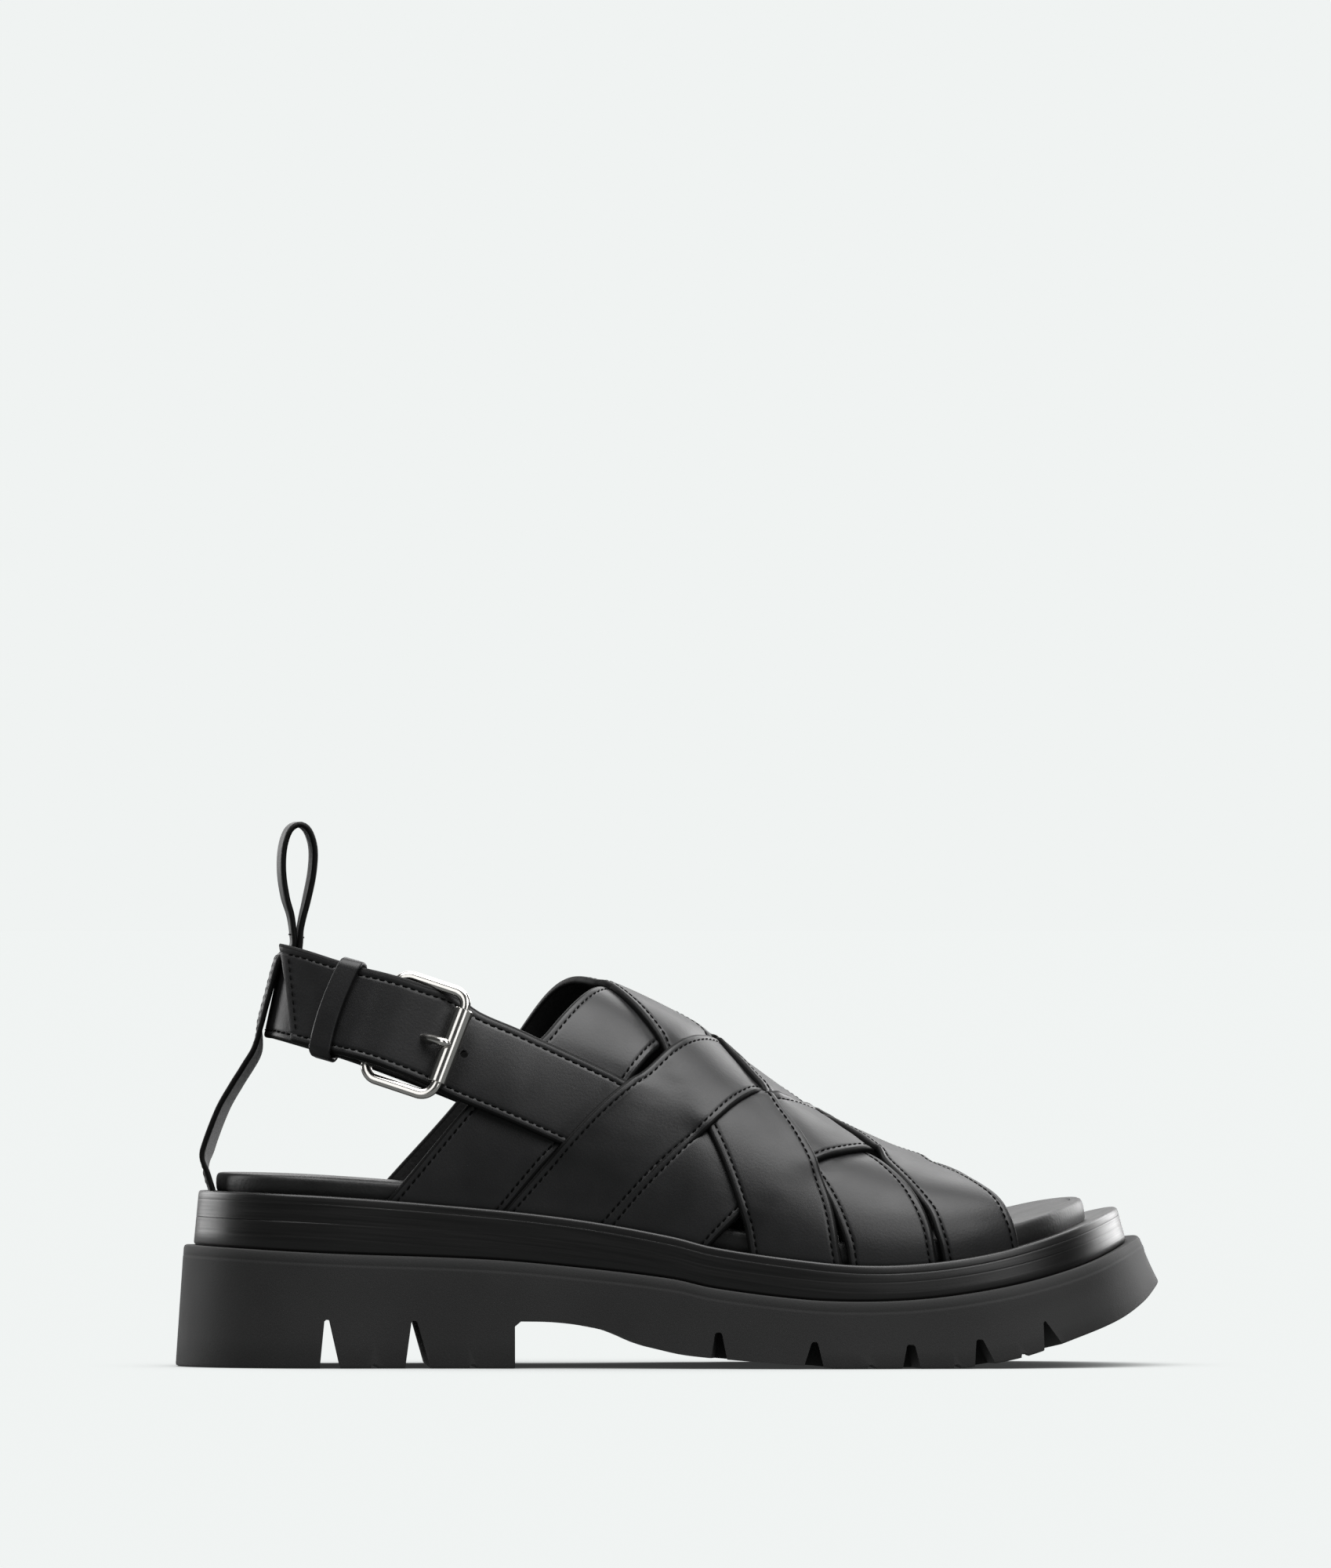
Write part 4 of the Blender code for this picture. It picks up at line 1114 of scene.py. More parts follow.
def strap_grid(places, width):
    """Places and outward directions of a strap, rows along it and columns across it."""
    table = list(zip(STRAP_ANGLES, places))
    half = STRAP_COLUMNS // 2
    base = np.zeros((STRAP_ROWS + 1, STRAP_COLUMNS + 1, 3))
    normal = np.zeros_like(base)
    for i in range(STRAP_ROWS + 1):
        angle = -STRAP_TUCK_DEG + (180 + 2 * STRAP_TUCK_DEG) * i / STRAP_ROWS
        along = curve_value(table, 1, angle)
        place, _, _, outward = form_frame(along, angle)
        later = form_point(curve_value(table, 1, angle + 1), angle + 1)
        across = outward.cross(later - place).normalized()
        base[i, half] = place
        normal[i, half] = outward
        for sign in (1, -1):
            spot = (along, angle)
            for k in range(1, half + 1):
                spot = walk(*spot, across * sign, width / STRAP_COLUMNS)
                on_form, _, _, out = form_frame(*spot)
                base[i, half + sign * k] = on_form
                normal[i, half + sign * k] = out
    return base, normal


def cut_to_sole(base, normal):
    """The same grid with each column cut where it goes below the midsole's top."""
    rows = base.shape[0]
    for k in range(base.shape[1]):
        over = [p[2] - midsole_top(p[0]) + STRAP_SUNK for p in base[:, k]]
        first = next(i for i in range(rows) if over[i] > 0)
        last = next(i for i in reversed(range(rows)) if over[i] > 0)
        start = first - over[first] / (over[first] - over[first - 1])
        end = last + over[last] / (over[last] - over[last + 1])
        spots = np.linspace(start, end, rows)
        for grid in (base, normal):
            column = [np.interp(spots, np.arange(rows), grid[:, k, axis]) for axis in range(3)]
            grid[:, k] = np.array(column).T
    return base, normal


layers = {}
for letter, table in (("a", BACK_TO_FRONT), ("b", FRONT_TO_BACK)):
    for index, (places, width) in enumerate(table):
        base, normal = cut_to_sole(*strap_grid(places, width))
        rows = np.arange(base.shape[0])
        from_end = np.minimum(rows, rows[::-1])
        settled = np.array([ramp(k, HELD_ROWS, SETTLE_ROWS) for k in from_end])
        layers["strap_%s%d" % (letter, index + 1)] = {
            "base": base,
            "normal": normal,
            "height": np.zeros(base.shape[:2]),
            "target": np.repeat(WEAVE_LEVEL * settled[:, None], base.shape[1], 1),
            "over_form": 0.0,
            "width": width,
            "held": from_end < HELD_ROWS,
        }
print("straps laid:", sorted(layers))

# %% [markdown]
# The heel sling is two straps on one path. The heel strap comes from the medial side round the
# heel to the buckle's bar. The buckle strap comes from under the second lateral strap, goes
# under the roller, over the bar, and lies on the heel strap as far as its slanted tip, which is
# stiff and stands off a little. The pull strap draws the heel strap's top edge down at the back.

# %% Sling path
# place along, how far out, height
SLING_PATH = (
    (-6.0, 38.5, 69.7),
    (-18.0, 39.6, 75.5),
    (-40.0, 37.5, 85.5),
    (-60.0, 34.2, 93.9),
    (-78.0, 31.6, 100.9),
    (-93.0, 28.2, 106.3),
    (-106.6, 21.5, 110.4),
    (-115.7, 11.5, 113.0),
    (-118.5, 0.0, 113.5),
)
SLING_WIDTH = 27.6
SLING_STEPS = 600
SLING_FRONT = -13.0
SLING_LEAN_DEG = 12.0
HEEL_MIDDLE = -75.0
FORM_BLEND = (-74.0, 20.0)
REST_BLEND = (-58.0, 20.0)
REST_LEVEL = -0.3
UNDER_BLEND = (-52.0, 36.0)
UNDER_LEVEL = -3.4
SLING_OVER_UPPER = 2.8
ROLLER_ALONG = -67.1
BAR_ALONG = -88.0
KEEPER_ALONG = -100.2
BAR_LIFT = 0.4
ROLLER_LIFT = 4.4
BILLET_ON_STRAP = 2.6
BILLET_OVER_BAR = 4.7
TIP_ALONG = -118.75
TIP_SLANT = 13.0
TIP_FLARE = 4.6
FLARE_FROM = 13.0
FLARE_TO = 2.0
FLARE_ON = 1.8
TIP_TRIM = 2.1
HEEL_DIP = 2.6
HEEL_DIP_REACH = 12.0
# place along, how far up the sling
BILLET_RISE = (
    (-120.0, 1.3),
    (-112.0, 1.0),
    (-104.0, 0.55),
    (-96.0, 0.55),
    (-84.0, 1.2),
    (-71.0, 1.8),
    (-62.5, 0.0),
    (-50.0, 0.0),
)
sling_lateral = [Vector((along, -out, height)) for along, out, height in SLING_PATH]
sling_medial = [Vector((along, out, height)) for along, out, height in reversed(SLING_PATH[:-1])]
SLING = smooth_path(sling_lateral + sling_medial, SLING_STEPS)
SLING_LENGTH = sum((b - a).length for a, b in zip(SLING, SLING[1:]))


def form_side(along, height, side):
    """How far out the sling lies where it rests on the form at a height."""
    low, high = (0.0, 89.0) if side < 0 else (91.0, 180.0)
    for _ in range(22):
        middle = (low + high) / 2
        above = form_point(along, middle).z > height
        if above == (side < 0):
            high = middle
        else:
            low = middle
    place, _, _, outward = form_frame(along, (low + high) / 2)
    return place.y + SLING_OVER_UPPER / outward.y


def sling_point(part, across):
    """Point on the sling's inner layer: part 0 to 1 from lateral front to medial front."""
    spot = min(max(part, 0.0), 1.0) * SLING_STEPS
    k = min(int(spot), SLING_STEPS - 1)
    place = SLING[k].lerp(SLING[k + 1], spot - k)
    ahead = (SLING[min(k + 6, SLING_STEPS)] - SLING[max(k - 6, 0)]).normalized()
    inner = ahead.cross(Vector((0.0, 0.0, 1.0))).normalized() * -1
    upward = inner.cross(ahead).normalized() * -1
    if upward.z < 0:
        upward = -upward
    if inner.dot(Vector((HEEL_MIDDLE, 0.0, place.z)) - place) < 0:
        inner = -inner
    lean = math.radians(SLING_LEAN_DEG)
    result = place + (upward * math.cos(lean) + inner * math.sin(lean)) * across
    on_form = ramp(result.x, *FORM_BLEND)
    if on_form > 0:
        side = -1.0 if part < 0.5 else 1.0
        result.y += (form_side(result.x, result.z, side) - result.y) * on_form
    return result


def sling_frame(part, across):
    """Point on the sling with its directions ahead, up and outward."""
    place = sling_point(part, across)
    ahead = (sling_point(part + 0.002, across) - sling_point(part - 0.002, across)).normalized()
    up = sling_point(part, across + 0.5) - sling_point(part, across - 0.5)
    outward = ahead.cross(up).normalized()
    if outward.dot(place - Vector((HEEL_MIDDLE, 0.0, place.z))) < 0:
        outward = -outward
    return place, ahead, up.normalized(), outward


def sling_part(along, side=-1.0):
    """Part of the sling where its middle line reaches a place on one side."""
    low, high = (0.0, 0.5) if side < 0 else (0.5, 1.0)
    for _ in range(24):
        middle = (low + high) / 2
        behind = sling_point(middle, 0.0).x < along
        if behind == (side < 0):
            high = middle
        else:
            low = middle
    return (low + high) / 2


flare_from = sling_part(TIP_ALONG + FLARE_FROM)
flare_to = FLARE_ON * sling_part(TIP_ALONG + FLARE_TO) - (FLARE_ON - 1.0) * flare_from
# part of the sling, height over its inner layer
BILLET_STOPS = (
    (0.0, 0.0),
    (sling_part(ROLLER_ALONG + 6.0), 0.0),
    (sling_part(ROLLER_ALONG - 1.0), 0.0),
    (sling_part(BAR_ALONG + 1.0), BILLET_OVER_BAR),
    (sling_part(BAR_ALONG - 2.0), BILLET_OVER_BAR),
    (sling_part(BAR_ALONG - 10.5), BILLET_ON_STRAP),
    (flare_from, BILLET_ON_STRAP),
    (flare_to, BILLET_ON_STRAP + TIP_FLARE),
)


def billet_lift(part):
    """Height of the buckle strap over the sling's inner layer."""
    for (a, low), (b, high) in zip(BILLET_STOPS, BILLET_STOPS[1:]):
        if a <= part <= b:
            return low + (high - low) * ease((part - a) / (b - a))
    return 0.0


def sling_grid(start, end, long_steps, shift):
    """Places, outward directions and parts of a sling strap between two ends."""
    base = np.zeros((long_steps + 1, STRAP_COLUMNS + 1, 3))
    normal = np.zeros_like(base)
    parts = np.zeros(base.shape[:2])
    for i in range(long_steps + 1):
        for k in range(STRAP_COLUMNS + 1):
            share = k / STRAP_COLUMNS
            across = SLING_WIDTH * (share - 0.5)
            part = start(across) + (end(across) - start(across)) * i / long_steps
            across += shift(part, share)
            place, _, _, outward = sling_frame(part, across)
            base[i, k] = place
            normal[i, k] = outward
            parts[i, k] = part
    return base, normal, parts


tip_part = sling_part(TIP_ALONG + TIP_TRIM)
billet_from = sling_part(SLING_FRONT)
heel_from = sling_part(BAR_ALONG - 1.6)
heel_to = sling_part(SLING_FRONT, 1.0)


def tip_end(across):
    """Part of the sling where the slanted tip ends, by the place across the strap."""
    return tip_part - TIP_SLANT * (0.5 - across / SLING_WIDTH) / SLING_LENGTH


def billet_rise(part, share):
    """How far the buckle strap rides up the sling, most along its top edge."""
    return curve_value(BILLET_RISE, 1, sling_point(part, 0.0).x) * (0.4 + 0.6 * share)


def heel_dip(part, share):
    """How far the pull strap draws the heel strap's top edge down."""
    off_back = (part - 0.5) * SLING_LENGTH
    return -HEEL_DIP * share * math.exp(-((off_back / HEEL_DIP_REACH) ** 2))


def sling_layer(base, normal):
    """A sling strap ready for weaving: it rides over the first strap and dips under the second."""
    settled = np.vectorize(ramp)(base[:, :, 0], *REST_BLEND)
    under = np.vectorize(ramp)(base[:, :, 0], *UNDER_BLEND)
    return {
        "base": base,
        "normal": normal,
        "height": np.zeros(base.shape[:2]),
        "target": REST_LEVEL * settled + UNDER_LEVEL * under,
        "over_form": SLING_OVER_UPPER,
        "width": SLING_WIDTH,
        "held": base[:, STRAP_COLUMNS // 2, 0] < REST_BLEND[0],
    }


base, normal, billet_parts = sling_grid(lambda v: billet_from, tip_end, 130, billet_rise)
layers["buckle_strap"] = sling_layer(base, normal)
base, normal, _ = sling_grid(lambda v: heel_from, lambda v: heel_to, 170, heel_dip)
layers["heel_strap"] = sling_layer(base, normal)
print("sling length, mm:", round(SLING_LENGTH, 1))

# %% [markdown]
# Weaving: where two straps cross, one has to stay a strap's thickness above the other, and
# between crossings leather bends gently. Both are reached together by a short relaxation: each
# turn smooths every strap's height a little, draws it towards the level where the strap would
# rest, and then pushes crossing straps apart.

# %% Weave
OVER_PAIRS = []
for first in range(3):
    for second in range(3):
        pair = ("strap_b%d" % (first + 1), "strap_a%d" % (second + 1))
        OVER_PAIRS.append(pair if (first - second) % 2 == 0 else pair[::-1])
OVER_PAIRS += [("buckle_strap", "strap_a1"), ("strap_a2", "buckle_strap")]
OVER_PAIRS += [("heel_strap", "strap_b1"), ("strap_b2", "heel_strap")]
LAYER_SPACE = STRAP_THICKNESS + 0.1
CROSSING_REACH = 2.2
WEAVE_TURNS = 200
SMOOTHING = 0.5
FLATTENING = 0.1
SETTLING = 0.2
PUSHING = 0.5

trees = {}
for name, layer in layers.items():
    points = layer["base"].reshape(-1, 3)
    trees[name] = KDTree(len(points))
    for k, point in enumerate(points):
        trees[name].insert(point, k)
    trees[name].balance()


def meeting(name, other):
    """Points of one strap and the nearest points of another that it crosses."""
    own = []
    theirs = []
    for k, point in enumerate(layers[name]["base"].reshape(-1, 3)):
        _, near, distance = trees[other].find(point)
        offset = layers[name]["over_form"] + layers[other]["over_form"]
        if distance < math.hypot(CROSSING_REACH, offset):
            own.append(k)
            theirs.append(near)
    return np.array(own, int), np.array(theirs, int)


contacts = []
for upper_name, lower_name in OVER_PAIRS:
    contacts.append((upper_name, lower_name, 1.0, *meeting(upper_name, lower_name)))
    contacts.append((lower_name, upper_name, -1.0, *meeting(lower_name, upper_name)))


def smooth_heights(layer):
    """One turn of smoothing along a strap, flattening across it and settling to its level."""
    height = layer["height"]
    height[1:-1] += SMOOTHING * ((height[:-2] + height[2:]) / 2 - height[1:-1])
    columns = np.linspace(-1.0, 1.0, height.shape[1])
    slope = (height * columns).sum(1) / (columns**2).sum()
    level = height.mean(1)[:, None] + slope[:, None] * columns
    height += FLATTENING * (level - height)
    height += SETTLING * (layer["target"] - height)
    height[layer["held"]] = 0.0


def push_apart(share):
    """Moves crossing straps apart by a share of what is missing, and gives the least space."""
    least = math.inf
    for name, other, sign, own, theirs in contacts:
        if len(own) == 0:
            continue
        height = layers[name]["height"].reshape(-1)
        mine = height[own] + layers[name]["over_form"]
        yours = layers[other]["height"].reshape(-1)[theirs] + layers[other]["over_form"]
        short = np.maximum(LAYER_SPACE - sign * (mine - yours), 0.0)
        held = layers[name]["held"][own // layers[name]["height"].shape[1]]
        height[own] += sign * share * short * ~held
        least = min(least, float((sign * (mine - yours)).min()))
    return least


for _ in range(WEAVE_TURNS):
    for layer in layers.values():
        smooth_heights(layer)
    push_apart(PUSHING)
for layer in layers.values():
    smooth_heights(layer)
print("least space between crossing straps:", round(push_apart(0.0), 2))
for name, layer in layers.items():
    print(name, "height", layer["height"].min().round(2), layer["height"].max().round(2))

# %% [markdown]
# A strap is cut leather with its edges painted round, and a stitch line that pulls a shallow
# groove near each edge. Solidify and Bevel could thicken the grid, but a cross-section drawn once
# as a ring and carried along it also gives the groove, and tells skin, edge and back apart.

# %% Strap section
EDGE_RADIUS = 1.0
STITCH_INSET = 2.5
FACE_INSET = 5.2
# share of the thickness at a cut end, millimetres in from it
END_EASE = ((0.5, 0.0), (0.88, 0.3), (1.0, 0.8))
# distance from the edge, height over the face
GROOVE = (
    (1.5, 0.02),
    (1.95, -0.03),
    (2.3, -0.2),
    (2.5, -0.26),
    (2.7, -0.2),
    (3.05, -0.03),
    (3.6, 0.0),
)


def strap_section(width, thickness):
    """Ring of (across, lift) points, and the finish of each face: 0 skin, 1 edge, 2 back."""
    half = width / 2
    deep = thickness / 2
    turns = [math.radians(a) for a in (180, 160, 138, 115, 90)]
    round_edge = [
        (EDGE_RADIUS * (1 + math.cos(t)), deep - EDGE_RADIUS * (1 - math.sin(t))) for t in turns
    ]
    near_edge = round_edge + [(a, deep + b) for a, b in GROOVE]
    inner = width - 2 * FACE_INSET
    middle = [(FACE_INSET + inner * k / 7, deep) for k in range(8)]
    face = [(a - half, b) for a, b in near_edge + middle]
    face += [(half - a, b) for a, b in reversed(near_edge)]
    back = [(half - a, -b) for a, b in round_edge]
    back += [(half - FACE_INSET - inner * k / 4, -deep) for k in range(5)]
    back += [(a - half, -b) for a, b in reversed(round_edge)]
    ring = face + back
    count = len(face)
    finish = []
    for k in range(len(ring)):
        from_edge = half - abs(ring[k][0])
        to_edge = half - abs(ring[(k + 1) % len(ring)][0])
        if max(from_edge, to_edge) <= EDGE_RADIUS + 1e-6:
            finish.append(1)
        else:
            finish.append(0 if k < count else 2)
    return ring, finish


def on_grid(values, width, across):
    """Values of a grid at places across it, by straight lines between its columns."""
    cells = values.shape[1] - 1
    spot = np.clip((np.asarray(across) / width + 0.5) * cells, 0.0, cells)
    k = np.minimum(spot.astype(int), cells - 1)
    part = spot - k
    if values.ndim == 3:
        part = part[:, None]
    return values[:, k] * (1 - part) + values[:, k + 1] * part


def strap_surface(layer, across, lift):
    """Points at places across a strap and heights over its middle layer."""
    width = layer["width"]
    place = on_grid(layer["base"], width, across)
    out = on_grid(layer["normal"], width, across)
    out = out / np.linalg.norm(out, axis=2)[:, :, None]
    height = on_grid(layer["height"], width, across) + np.asarray(lift)
    return place + out * height[:, :, None], out


def strap_rings(layer, thickness):
    """Rings of a strap from end to end, with its cut ends eased like its edges."""
    section, finish = strap_section(layer["width"], thickness)
    across = np.array([a for a, b in section])
    lift = np.array([b for a, b in section])
    grids = [strap_surface(layer, across, lift * share)[0] for share, _ in END_EASE]
    full = grids[-1]

    def eased(end, inner):
        step = full[inner] - full[end]
        step /= np.linalg.norm(step, axis=1)[:, None]
        return [grid[end] + step * inset for grid, (_, inset) in zip(grids, END_EASE)]

    rings = eased(0, 1) + list(full[2:-2]) + eased(-1, -2)[::-1]
    return [[Vector(p) for p in ring] for ring in rings], finish


LEATHERS = [smooth_calf, edge_paint, lining_leather]
UPPER_STRAPS = ("strap_a1", "strap_b1", "strap_a2", "strap_b2", "strap_a3", "strap_b3")
upper_straps = []
for name in UPPER_STRAPS:
    rings, finish = strap_rings(layers[name], STRAP_THICKNESS)
    upper_straps.append(rolled(name, rings, LEATHERS, finish))
    settle(upper_straps[-1], "strap_leather", "upper")

# %% [markdown]
# Stitches: one stitch is modelled as a small round cushion of thread, a little longer than the
# gap between stitches. It is copied along each stitch line at a 2.45 mm pitch and turned a few
# degrees, as a locked stitch lies, and all the stitches of a piece are one mesh. A long thread
# along a curve could be bent in and out, but copies of a few dozen faces are lighter.

# %% Stitches
STITCH_PITCH = 2.45
STITCH_SIZE = (1.8, 0.54, 0.54)
STITCH_TURN = math.radians(7.0)
STITCH_SUNK = 0.1
STITCH_RAISED = 0.1
LOOK_ALONG = 0.4
bpy.ops.mesh.primitive_uv_sphere_add(segments=7, ring_count=5, radius=0.5)
one_stitch = bpy.context.object
stitch_points = np.array([v.co for v in one_stitch.data.vertices])
stitch_points = stitch_points[:, [2, 0, 1]] * np.array(STITCH_SIZE)
stitch_faces = [tuple(face.vertices) for face in one_stitch.data.polygons]
bpy.data.objects.remove(one_stitch, do_unlink=True)


def along_line(points, outs):
    """Stitch centres, directions and outward directions evenly along a line of points."""
    steps = np.linalg.norm(np.diff(points, axis=0), axis=1)
    length = np.concatenate(([0.0], np.cumsum(steps)))
    count = max(int(length[-1] / STITCH_PITCH), 1)
    spots = (np.arange(count) + 0.5) * length[-1] / count

    def read(where, values):
        return np.array([np.interp(where, length, values[:, k]) for k in range(3)]).T

    ahead = read(spots + LOOK_ALONG, points) - read(spots - LOOK_ALONG, points)
    return read(spots, points), ahead, read(spots, outs)


def sew(name, lines):
    """All stitches on the given lines as one mesh of thread."""
    points = []
    faces = []
    for places, ahead, out in lines:
        for place, along, outward in zip(places, ahead, out):
            along = Vector(along).normalized()
            side = Vector(outward).cross(along).normalized()
            outward = along.cross(side)
            first = along * math.cos(STITCH_TURN) + side * math.sin(STITCH_TURN)
            second = side * math.cos(STITCH_TURN) - along * math.sin(STITCH_TURN)
            frame_of = np.array([first, second, outward])
            start = len(points)
            points += list(place + stitch_points @ frame_of)
            faces += [tuple(v + start for v in face) for face in stitch_faces]
    mesh = bpy.data.meshes.new(name)
    mesh.from_pydata([Vector(p) * MM for p in points], [], faces)
    mesh.materials.append(bonded_thread)
    piece = bpy.data.objects.new(name, mesh)
    bpy.context.scene.collection.objects.link(piece)
    pick(piece)
    bpy.ops.object.shade_smooth()
    return piece


def edge_lines(layer, thickness, rows=slice(None)):
    """Stitch lines along both edges of a strap."""
    half = layer["width"] / 2 - STITCH_INSET
    line, out = strap_surface(layer, [-half, half], [thickness / 2 - STITCH_SUNK] * 2)
    return [along_line(line[rows, k], out[rows, k]) for k in range(2)]


def cross_lines(layer, thickness, inset, points, rows):
    """Stitch lines across a strap at some of its grid's rows."""
    half = layer["width"] / 2 - inset
    span = np.linspace(-half, half, points)
    line, out = strap_surface(layer, span, [thickness / 2 + STITCH_RAISED] * points)
    return [along_line(line[row], out[row]) for row in rows]


lines = []
for name in UPPER_STRAPS:
    lines += edge_lines(layers[name], STRAP_THICKNESS)
upper_stitching = sew("upper_stitching", lines)
settle(upper_stitching, "strap_leather")

# %% [markdown]
# The buckle strap is the same leather. It has a row of stitches along each edge and along its
# slanted tip, a hole for the prong, and one spare hole in front of the roller. The holes are cut
# right through, as a punch does.

# %% Buckle strap
billet = layers["buckle_strap"]
billet["height"] = billet["height"] + np.vectorize(billet_lift)(billet_parts)
rings, finish = strap_rings(billet, STRAP_THICKNESS)
buckle_strap_leather = rolled("buckle_strap_leather", rings, LEATHERS, finish)
SPARE_HOLE_ALONG = -62.9
PRONG_HOLE_ALONG = -73.5
SPARE_HOLE_HALVES = (1.2, 1.2)
PRONG_HOLE_HALVES = (1.6, 1.5)
HOLE_PROFILE = ((-6.0, 1.0), (6.0, 1.0))
TIP_STITCH_INSET = 3.6


def hole_cutter(along, long_half, wide_half):
    """Oval plug through the buckle strap at a place on its middle line."""
    part = sling_part(along)
    place, ahead, up, outward = sling_frame(part, 0.0)
    middle = place + outward * billet_lift(part)
    axes = (ahead * long_half, up * wide_half, outward)
    return turned("hole_cutter", middle, axes, HOLE_PROFILE, 20, [edge_paint])


cut(buckle_strap_leather, hole_cutter(SPARE_HOLE_ALONG, *SPARE_HOLE_HALVES))
cut(buckle_strap_leather, hole_cutter(PRONG_HOLE_ALONG, *PRONG_HOLE_HALVES))
settle(buckle_strap_leather, "strap_leather", "buckle_strap")

lines = edge_lines(billet, STRAP_THICKNESS, slice(0, -3))
steps = np.linalg.norm(np.diff(billet["base"][:, STRAP_COLUMNS // 2], axis=0), axis=1)
row_size = float(steps[-10:].mean())
tip_row = -1 - round(STITCH_INSET / row_size)
lines += cross_lines(billet, STRAP_THICKNESS, TIP_STITCH_INSET, 24, [tip_row])
buckle_strap_stitching = sew("buckle_strap_stitching", lines)
settle(buckle_strap_stitching, "strap_leather")

# %% [markdown]
# The heel strap ends in a fold round the buckle's rear bar, with a gap in its middle where the
# prong's eye sits. The strap's end could be bent round, but most of the fold is hidden, so two
# short leather tubes on the bar are enough.

# %% Heel strap
heel = layers["heel_strap"]
rings, finish = strap_rings(heel, STRAP_THICKNESS)
heel_strap_leather = rolled("heel_strap_leather", rings, LEATHERS, finish)

place, ahead, bar_up, outward = sling_frame(sling_part(BAR_ALONG), 0.0)
bar_ahead = (ahead - bar_up * ahead.dot(bar_up)).normalized()
bar_out = bar_ahead.cross(bar_up).normalized()
if bar_out.y > 0:
    bar_out = -bar_out
bar = place + bar_out * BAR_LIFT
BUCKLE_WIRE = 2.2
FOLD_OUTER = BUCKLE_WIRE / 2 + 1.6
FOLD_BORE = BUCKLE_WIRE / 2 + 0.1
FOLD_EASE = 0.5
FOLD_END = SLING_WIDTH / 2 - 0.5
PRONG_ROOM = 2.8


def tube_profile(low, high, radius, bore, eased):
    """Rows of place and radius for a tube with eased ends."""
    return [
        (low, bore),
        (low, radius - eased),
        (low + eased, radius),
        (high - eased, radius),
        (high, radius - eased),
        (high, bore),
    ]


folds = []
for low, high in ((-FOLD_END, -PRONG_ROOM), (PRONG_ROOM, FOLD_END)):
    profile = tube_profile(low, high, FOLD_OUTER, FOLD_BORE, FOLD_EASE) + [(low, FOLD_BORE)]
    folds.append(turned("fold", bar, (bar_ahead, bar_out, bar_up), profile, 28, LEATHERS))
heel_strap_leather = join([heel_strap_leather] + folds, "heel_strap_leather")
settle(heel_strap_leather, "strap_leather", "heel_strap")
lines = edge_lines(heel, STRAP_THICKNESS, slice(4, None))
heel_strap_stitching = sew("heel_strap_stitching", lines)
settle(heel_strap_stitching, "strap_leather")

# %% [markdown]
# The buckle is a flattened wire bent to a rounded rectangle, with a roller on its front bar. A
# bevelled curve could make the wire, but a ring of points carried round the rectangle gives a
# clean mesh at once, and the roller is turned from a short profile.

# %% Buckle frame and roller
BUCKLE_WIDTH = 35.8
ROLLER_DIAMETER = 6.0
ROLLER_LENGTH = 24.0
ROLLER_BORE = 1.2
ROLLER_EASE = 0.25
CORNER = 4.6
FRAME_HALF = BUCKLE_WIRE / 2 + 0.55
FRAME_FLATNESS = 0.72
place, _, _, roller_out = sling_frame(sling_part(ROLLER_ALONG), 0.0)
roller_middle = place + roller_out * ROLLER_LIFT
frame_ahead = (bar - roller_middle).normalized()
frame_up = (bar_up - frame_ahead * bar_up.dot(frame_ahead)).normalized()
frame_out = frame_ahead.cross(frame_up).normalized()
if frame_out.y > 0:
    frame_out = -frame_out
frame_middle = (bar + roller_middle) / 2
half_long = (bar - roller_middle).length / 2
half_wide = (BUCKLE_WIDTH - BUCKLE_WIRE) / 2


def wire(name, path, sizes, flat, closed=False, thin=1.0):
    """Wire along a path that lies in the plane square to flat, thinned that way by a share."""
    count = len(path)
    rings = []
    for i, (place, size) in enumerate(zip(path, sizes)):
        before = path[(i - 1) % count] if closed else path[max(i - 1, 0)]
        after = path[(i + 1) % count] if closed else path[min(i + 1, count - 1)]
        side = (after - before).normalized().cross(flat).normalized()
        ring = []
        for k in range(20):
            turn = 2 * math.pi * k / 20
            reach = side * math.cos(turn) + flat * (thin * math.sin(turn))
            ring.append(place + reach * size)
        rings.append(ring)
    if closed:
        rings.append(rings[0])
    return rolled(name, rings, [polished_nickel])


def rounded_rectangle(half_a, half_b, radius, steps):
    """Rows round a rectangle with round corners: two places, then the way out as two parts."""
    rows = []
    for quarter, (sx, sy) in enumerate(((1, 1), (-1, 1), (-1, -1), (1, -1))):
        for step in range(steps + 1):
            turn = math.radians(90 * quarter + 90 / steps * step)
            a = sx * (half_a - radius) + radius * math.cos(turn)
            b = sy * (half_b - radius) + radius * math.sin(turn)
            rows.append((a, b, math.cos(turn), math.sin(turn)))
    return rows


path = []
for a, b, _, _ in rounded_rectangle(half_long, half_wide, CORNER, 12):
    path.append(frame_middle + frame_ahead * a + frame_up * b)
sizes = [FRAME_HALF] * len(path)
buckle_frame_wire = wire("buckle_frame_wire", path, sizes, frame_out, True, FRAME_FLATNESS)
settle(buckle_frame_wire, "buckle_metal", "buckle_frame")

half = ROLLER_LENGTH / 2
big = ROLLER_DIAMETER / 2
profile = tube_profile(-half, half, big, ROLLER_BORE, ROLLER_EASE)
axes = (frame_ahead, frame_out, frame_up)
buckle_roller_tube = turned(
    "buckle_roller_tube", roller_middle, axes, profile, 32, [polished_nickel]
)
settle(buckle_roller_tube, "buckle_metal", "buckle_roller")

# %% [markdown]
# The prong is a pin whose eye hooks round the rear bar. It runs under the buckle strap, comes up
# through the strap's hole and rests on the roller. So its path is an arc and then a few points,
# and its wire thins to a round tip.

